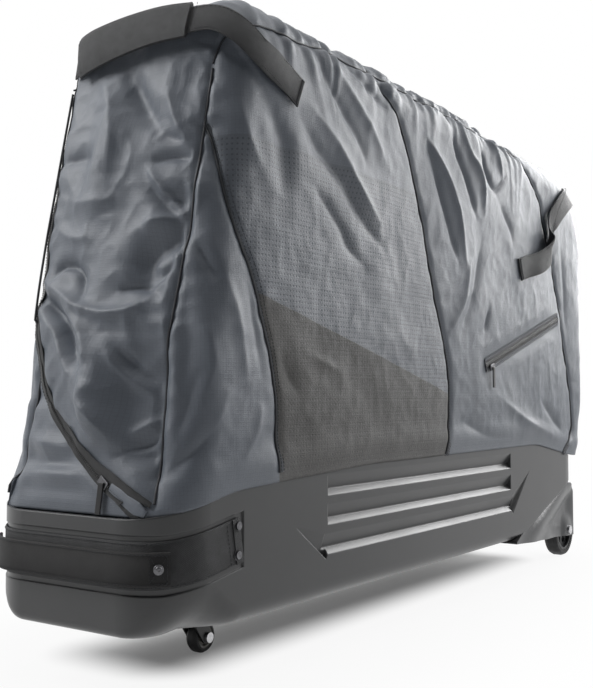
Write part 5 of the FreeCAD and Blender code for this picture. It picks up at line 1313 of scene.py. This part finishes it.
def make_pouch():
    """A slack inner bag that hangs behind the pocket zip."""
    low, high = (np.array(corner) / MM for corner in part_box("pocket_pouch"))
    run, rise = POCKET[1, 0] - POCKET[0, 0], POCKET[1, 2] - POCKET[0, 2]
    along = np.array([run, 0, rise]) / math.hypot(run, rise)
    down = np.array([rise, 0, -run]) / math.hypot(run, rise)
    start = np.array([POCKET[0, 0], high[1], POCKET[0, 2]]) + along * 8 - down * 6
    rows, columns = 22, 60
    points = []
    for v in np.linspace(0, 1, rows):
        for u in np.linspace(0, 1, columns):
            slack = math.sin(math.pi * u) * math.sin(math.pi * min(1, 0.25 + v * 0.75)) * 6
            slack += 1.5 * noise.noise(Vector((u * 9, v * 4, 2.5)))
            depth = np.array([0, max(slack, 0) + low[1] - high[1], 0])
            points.append(start + along * u * POUCH_LONG + down * v * POUCH_DEEP + depth)
    pouch = mesh_object("pocket_pouch_cloth", points, grid_faces(rows, columns), cloth,
                        np.array([(p[0], p[2]) for p in points]) * MM)
    thick = pouch.modifiers.new("cloth", "SOLIDIFY")
    thick.thickness = 0.001
    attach(pouch, "cover_flap")
    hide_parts("pocket_pouch")


make_pouch()


# Foam pads inside

def soft_copy(name, node, body, edge):
    """A foam pad over a CAD pad's own form, with rounded edges."""
    obj = link(bpy.data.objects.new(name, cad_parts[node].data.copy()))
    obj.data.materials.clear()
    obj.data.materials.append(foam)
    bevel = obj.modifiers.new("edges", "BEVEL")
    bevel.width, bevel.segments, bevel.limit_method = edge, 3, "ANGLE"
    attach(obj, body)
    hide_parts(node)


soft_copy("floor_pad_foam", "floor_pad", "base", 0.0025)
soft_copy("cradle_pad_foam", "cradle_pad", "cradle", 0.002)


# Wheel housings: swelling out beside the gasket and hollowed towards the wheel

SLOPE_X, SLOPE_Z, SLOPE_RISE, GASKET = 905, 70, 0.326, 2
WHEEL_X, WHEEL_Z = 1247, 52
FACE_X, FACE_Y = (906, 1190, 1245, 1293), (144.5, 119.5, 116, 113)


def swept_housing(name, node):
    """The CAD housing's own form, its outer face drawn out below the slope and in above the wheel."""
    work = bmesh.new()
    work.from_mesh(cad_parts[node].data)
    for _ in range(5):
        bmesh.ops.triangulate(work, faces=work.faces)
        long = [edge for edge in work.edges if edge.calc_length() > 0.008]
        bmesh.ops.subdivide_edges(work, edges=long, cuts=1)
    bmesh.ops.triangulate(work, faces=work.faces)
    places = np.array([vert.co for vert in work.verts])
    x, z = places[:, 0] / MM - NOSE, places[:, 2] / MM
    face = np.interp(x, FACE_X, FACE_Y)
    outer = smooth(-14, -3, np.abs(places[:, 1]) / MM - face)
    below = (SLOPE_Z + SLOPE_RISE * (x - SLOPE_X) - GASKET - z) / math.hypot(1, SLOPE_RISE)
    swell = 9 * smooth(0, 20, below) * (1 - smooth(24, 62, below))
    swell -= 7 * smooth(40, 70, below) * smooth(1090, 1180, x)
    swell *= smooth(915, 1040, x) * (1 - smooth(1240, 1288, x)) * outer
    swell *= smooth(12, 40, np.hypot(x - WHEEL_X, z - WHEEL_Z))
    places[:, 1] += np.sign(places[:, 1]) * swell * MM
    for vert, place in zip(work.verts, places):
        vert.co = place
    mesh = bpy.data.meshes.new(name)
    work.to_mesh(mesh)
    work.free()
    mesh.materials.clear()
    mesh.materials.append(housing)
    mesh.polygons.foreach_set("use_smooth", np.ones(len(mesh.polygons), bool))
    mesh.set_sharp_from_angle(angle=math.radians(38))
    obj = link(bpy.data.objects.new(name, mesh))
    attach(obj, "base")
    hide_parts(node)


swept_housing("housing_shell_near", "wheel_housing_near")
swept_housing("housing_shell_far", "wheel_housing_far")


# Light, floor and camera

def softbox(name, place, target, width, height, power):
    """A rectangular lamp at a place, turned to a target."""
    data = bpy.data.lights.new(name, "AREA")
    data.shape = "RECTANGLE"
    data.size, data.size_y, data.energy = width, height, power
    lamp = link(bpy.data.objects.new(name, data))
    lamp.location = place
    lamp.rotation_euler = (Vector(target) - Vector(place)).to_track_quat("-Z", "Y").to_euler()


def make_world():
    """White for the camera; as light it is plain, and dim from the camera's side."""
    world = bpy.data.worlds.new("studio")
    bpy.context.scene.world = world
    nodes = Nodes(world)
    path = nodes.add("LightPath", {}).outputs
    way = nodes.add("TexCoord", {}).outputs["Generated"]
    back = (-FORWARD.x, -FORWARD.y, 0)
    toward = nodes.add("VectorMath", {0: way, 1: back}, operation="DOT_PRODUCT").outputs["Value"]
    dim = {"Value": toward, "From Min": -0.1, "From Max": 0.7}
    plain = nodes.add("MapRange", {**dim, "To Min": 0.26, "To Max": 0.05}).outputs[0]
    glossy = nodes.add("MapRange", {**dim, "To Min": 1.0, "To Max": 0.12}).outputs[0]
    light = nodes.add("Mix", {0: path["Is Glossy Ray"], 2: plain, 3: glossy}).outputs[0]
    direct = nodes.math("MAXIMUM", path["Is Camera Ray"], path["Is Transmission Ray"])
    level = nodes.add("Mix", {0: direct, 2: light, 3: 1.0}).outputs[0]
    background = nodes.tree.nodes["Background"].inputs
    nodes.put(background["Strength"], level)
    nodes.put(background["Color"], (1, 1, 1, 1))


def make_floor():
    """A pale floor that glows at full strength away from the object and keeps the shadow near it: the glow
    is held back in a patch shaped to the case's footprint, where the rendered shade of the lit floor shows,
    so the outline of the shadow is painted.
    """
    bpy.ops.mesh.primitive_circle_add(vertices=96, radius=9, fill_type="TRIFAN")
    floor = bpy.context.object
    floor.name = "floor"
    look = Look("floor_look", rough=0.6, specular=0.2)
    x, y, _ = look.split(look.place())
    beyond = [look.math("MAXIMUM", look.math("SUBTRACT", look.math("ABSOLUTE", way), reach), 0.0)
              for way, reach in ((x, 0.47), (look.math("SUBTRACT", y, 0.05), 0.04))]
    away = look.reach(*beyond)
    look.colour((0.62, 0.62, 0.62, 1))
    path = look.add("LightPath", {})
    direct = look.math("MAXIMUM", path.outputs["Is Camera Ray"], path.outputs["Is Glossy Ray"])
    glow = look.add("Emission", {"Color": (1, 1, 1, 1), "Strength": 1.0}).outputs[0]
    # Painted shadow outline: the glow fades out in a patch shaped to the case's footprint, and only there
    # does the rendered shade of the lit floor show.
    glow_outside_shadow_patch = look.plus(look.ramp(away, 0.0, 0.105, 0.1, 0.92), look.ramp(away, 0.1, 0.5, 0.0, 0.08))
    share = look.times(direct, glow_outside_shadow_patch)
    node = look.add("MixShader", {0: share, 1: look.shader.outputs[0], 2: glow})
    look.tree.links.new(node.outputs[0], look.tree.nodes["Material Output"].inputs["Surface"])
    floor.data.materials.append(look.material)


softbox("left_box", (-1.7, 1.45, 2.05), (-0.45, 0, 0.75), 1.1, 1.4, 44)
softbox("right_box", (1.9, -1.55, 1.75), (0.1, -0.1, 0.5), 1.4, 1.8, 22)
softbox("rear_box", (2.3, -0.3, 1.3), (0, -0.1, 0.35), 1.4, 1.4, 42)
softbox("top_box", (-0.2, -0.2, 2.5), (0, 0, 0.5), 2.4, 1.6, 11)
make_world()
make_floor()
make_camera()
bpy.context.scene.view_settings.view_transform = "Standard"
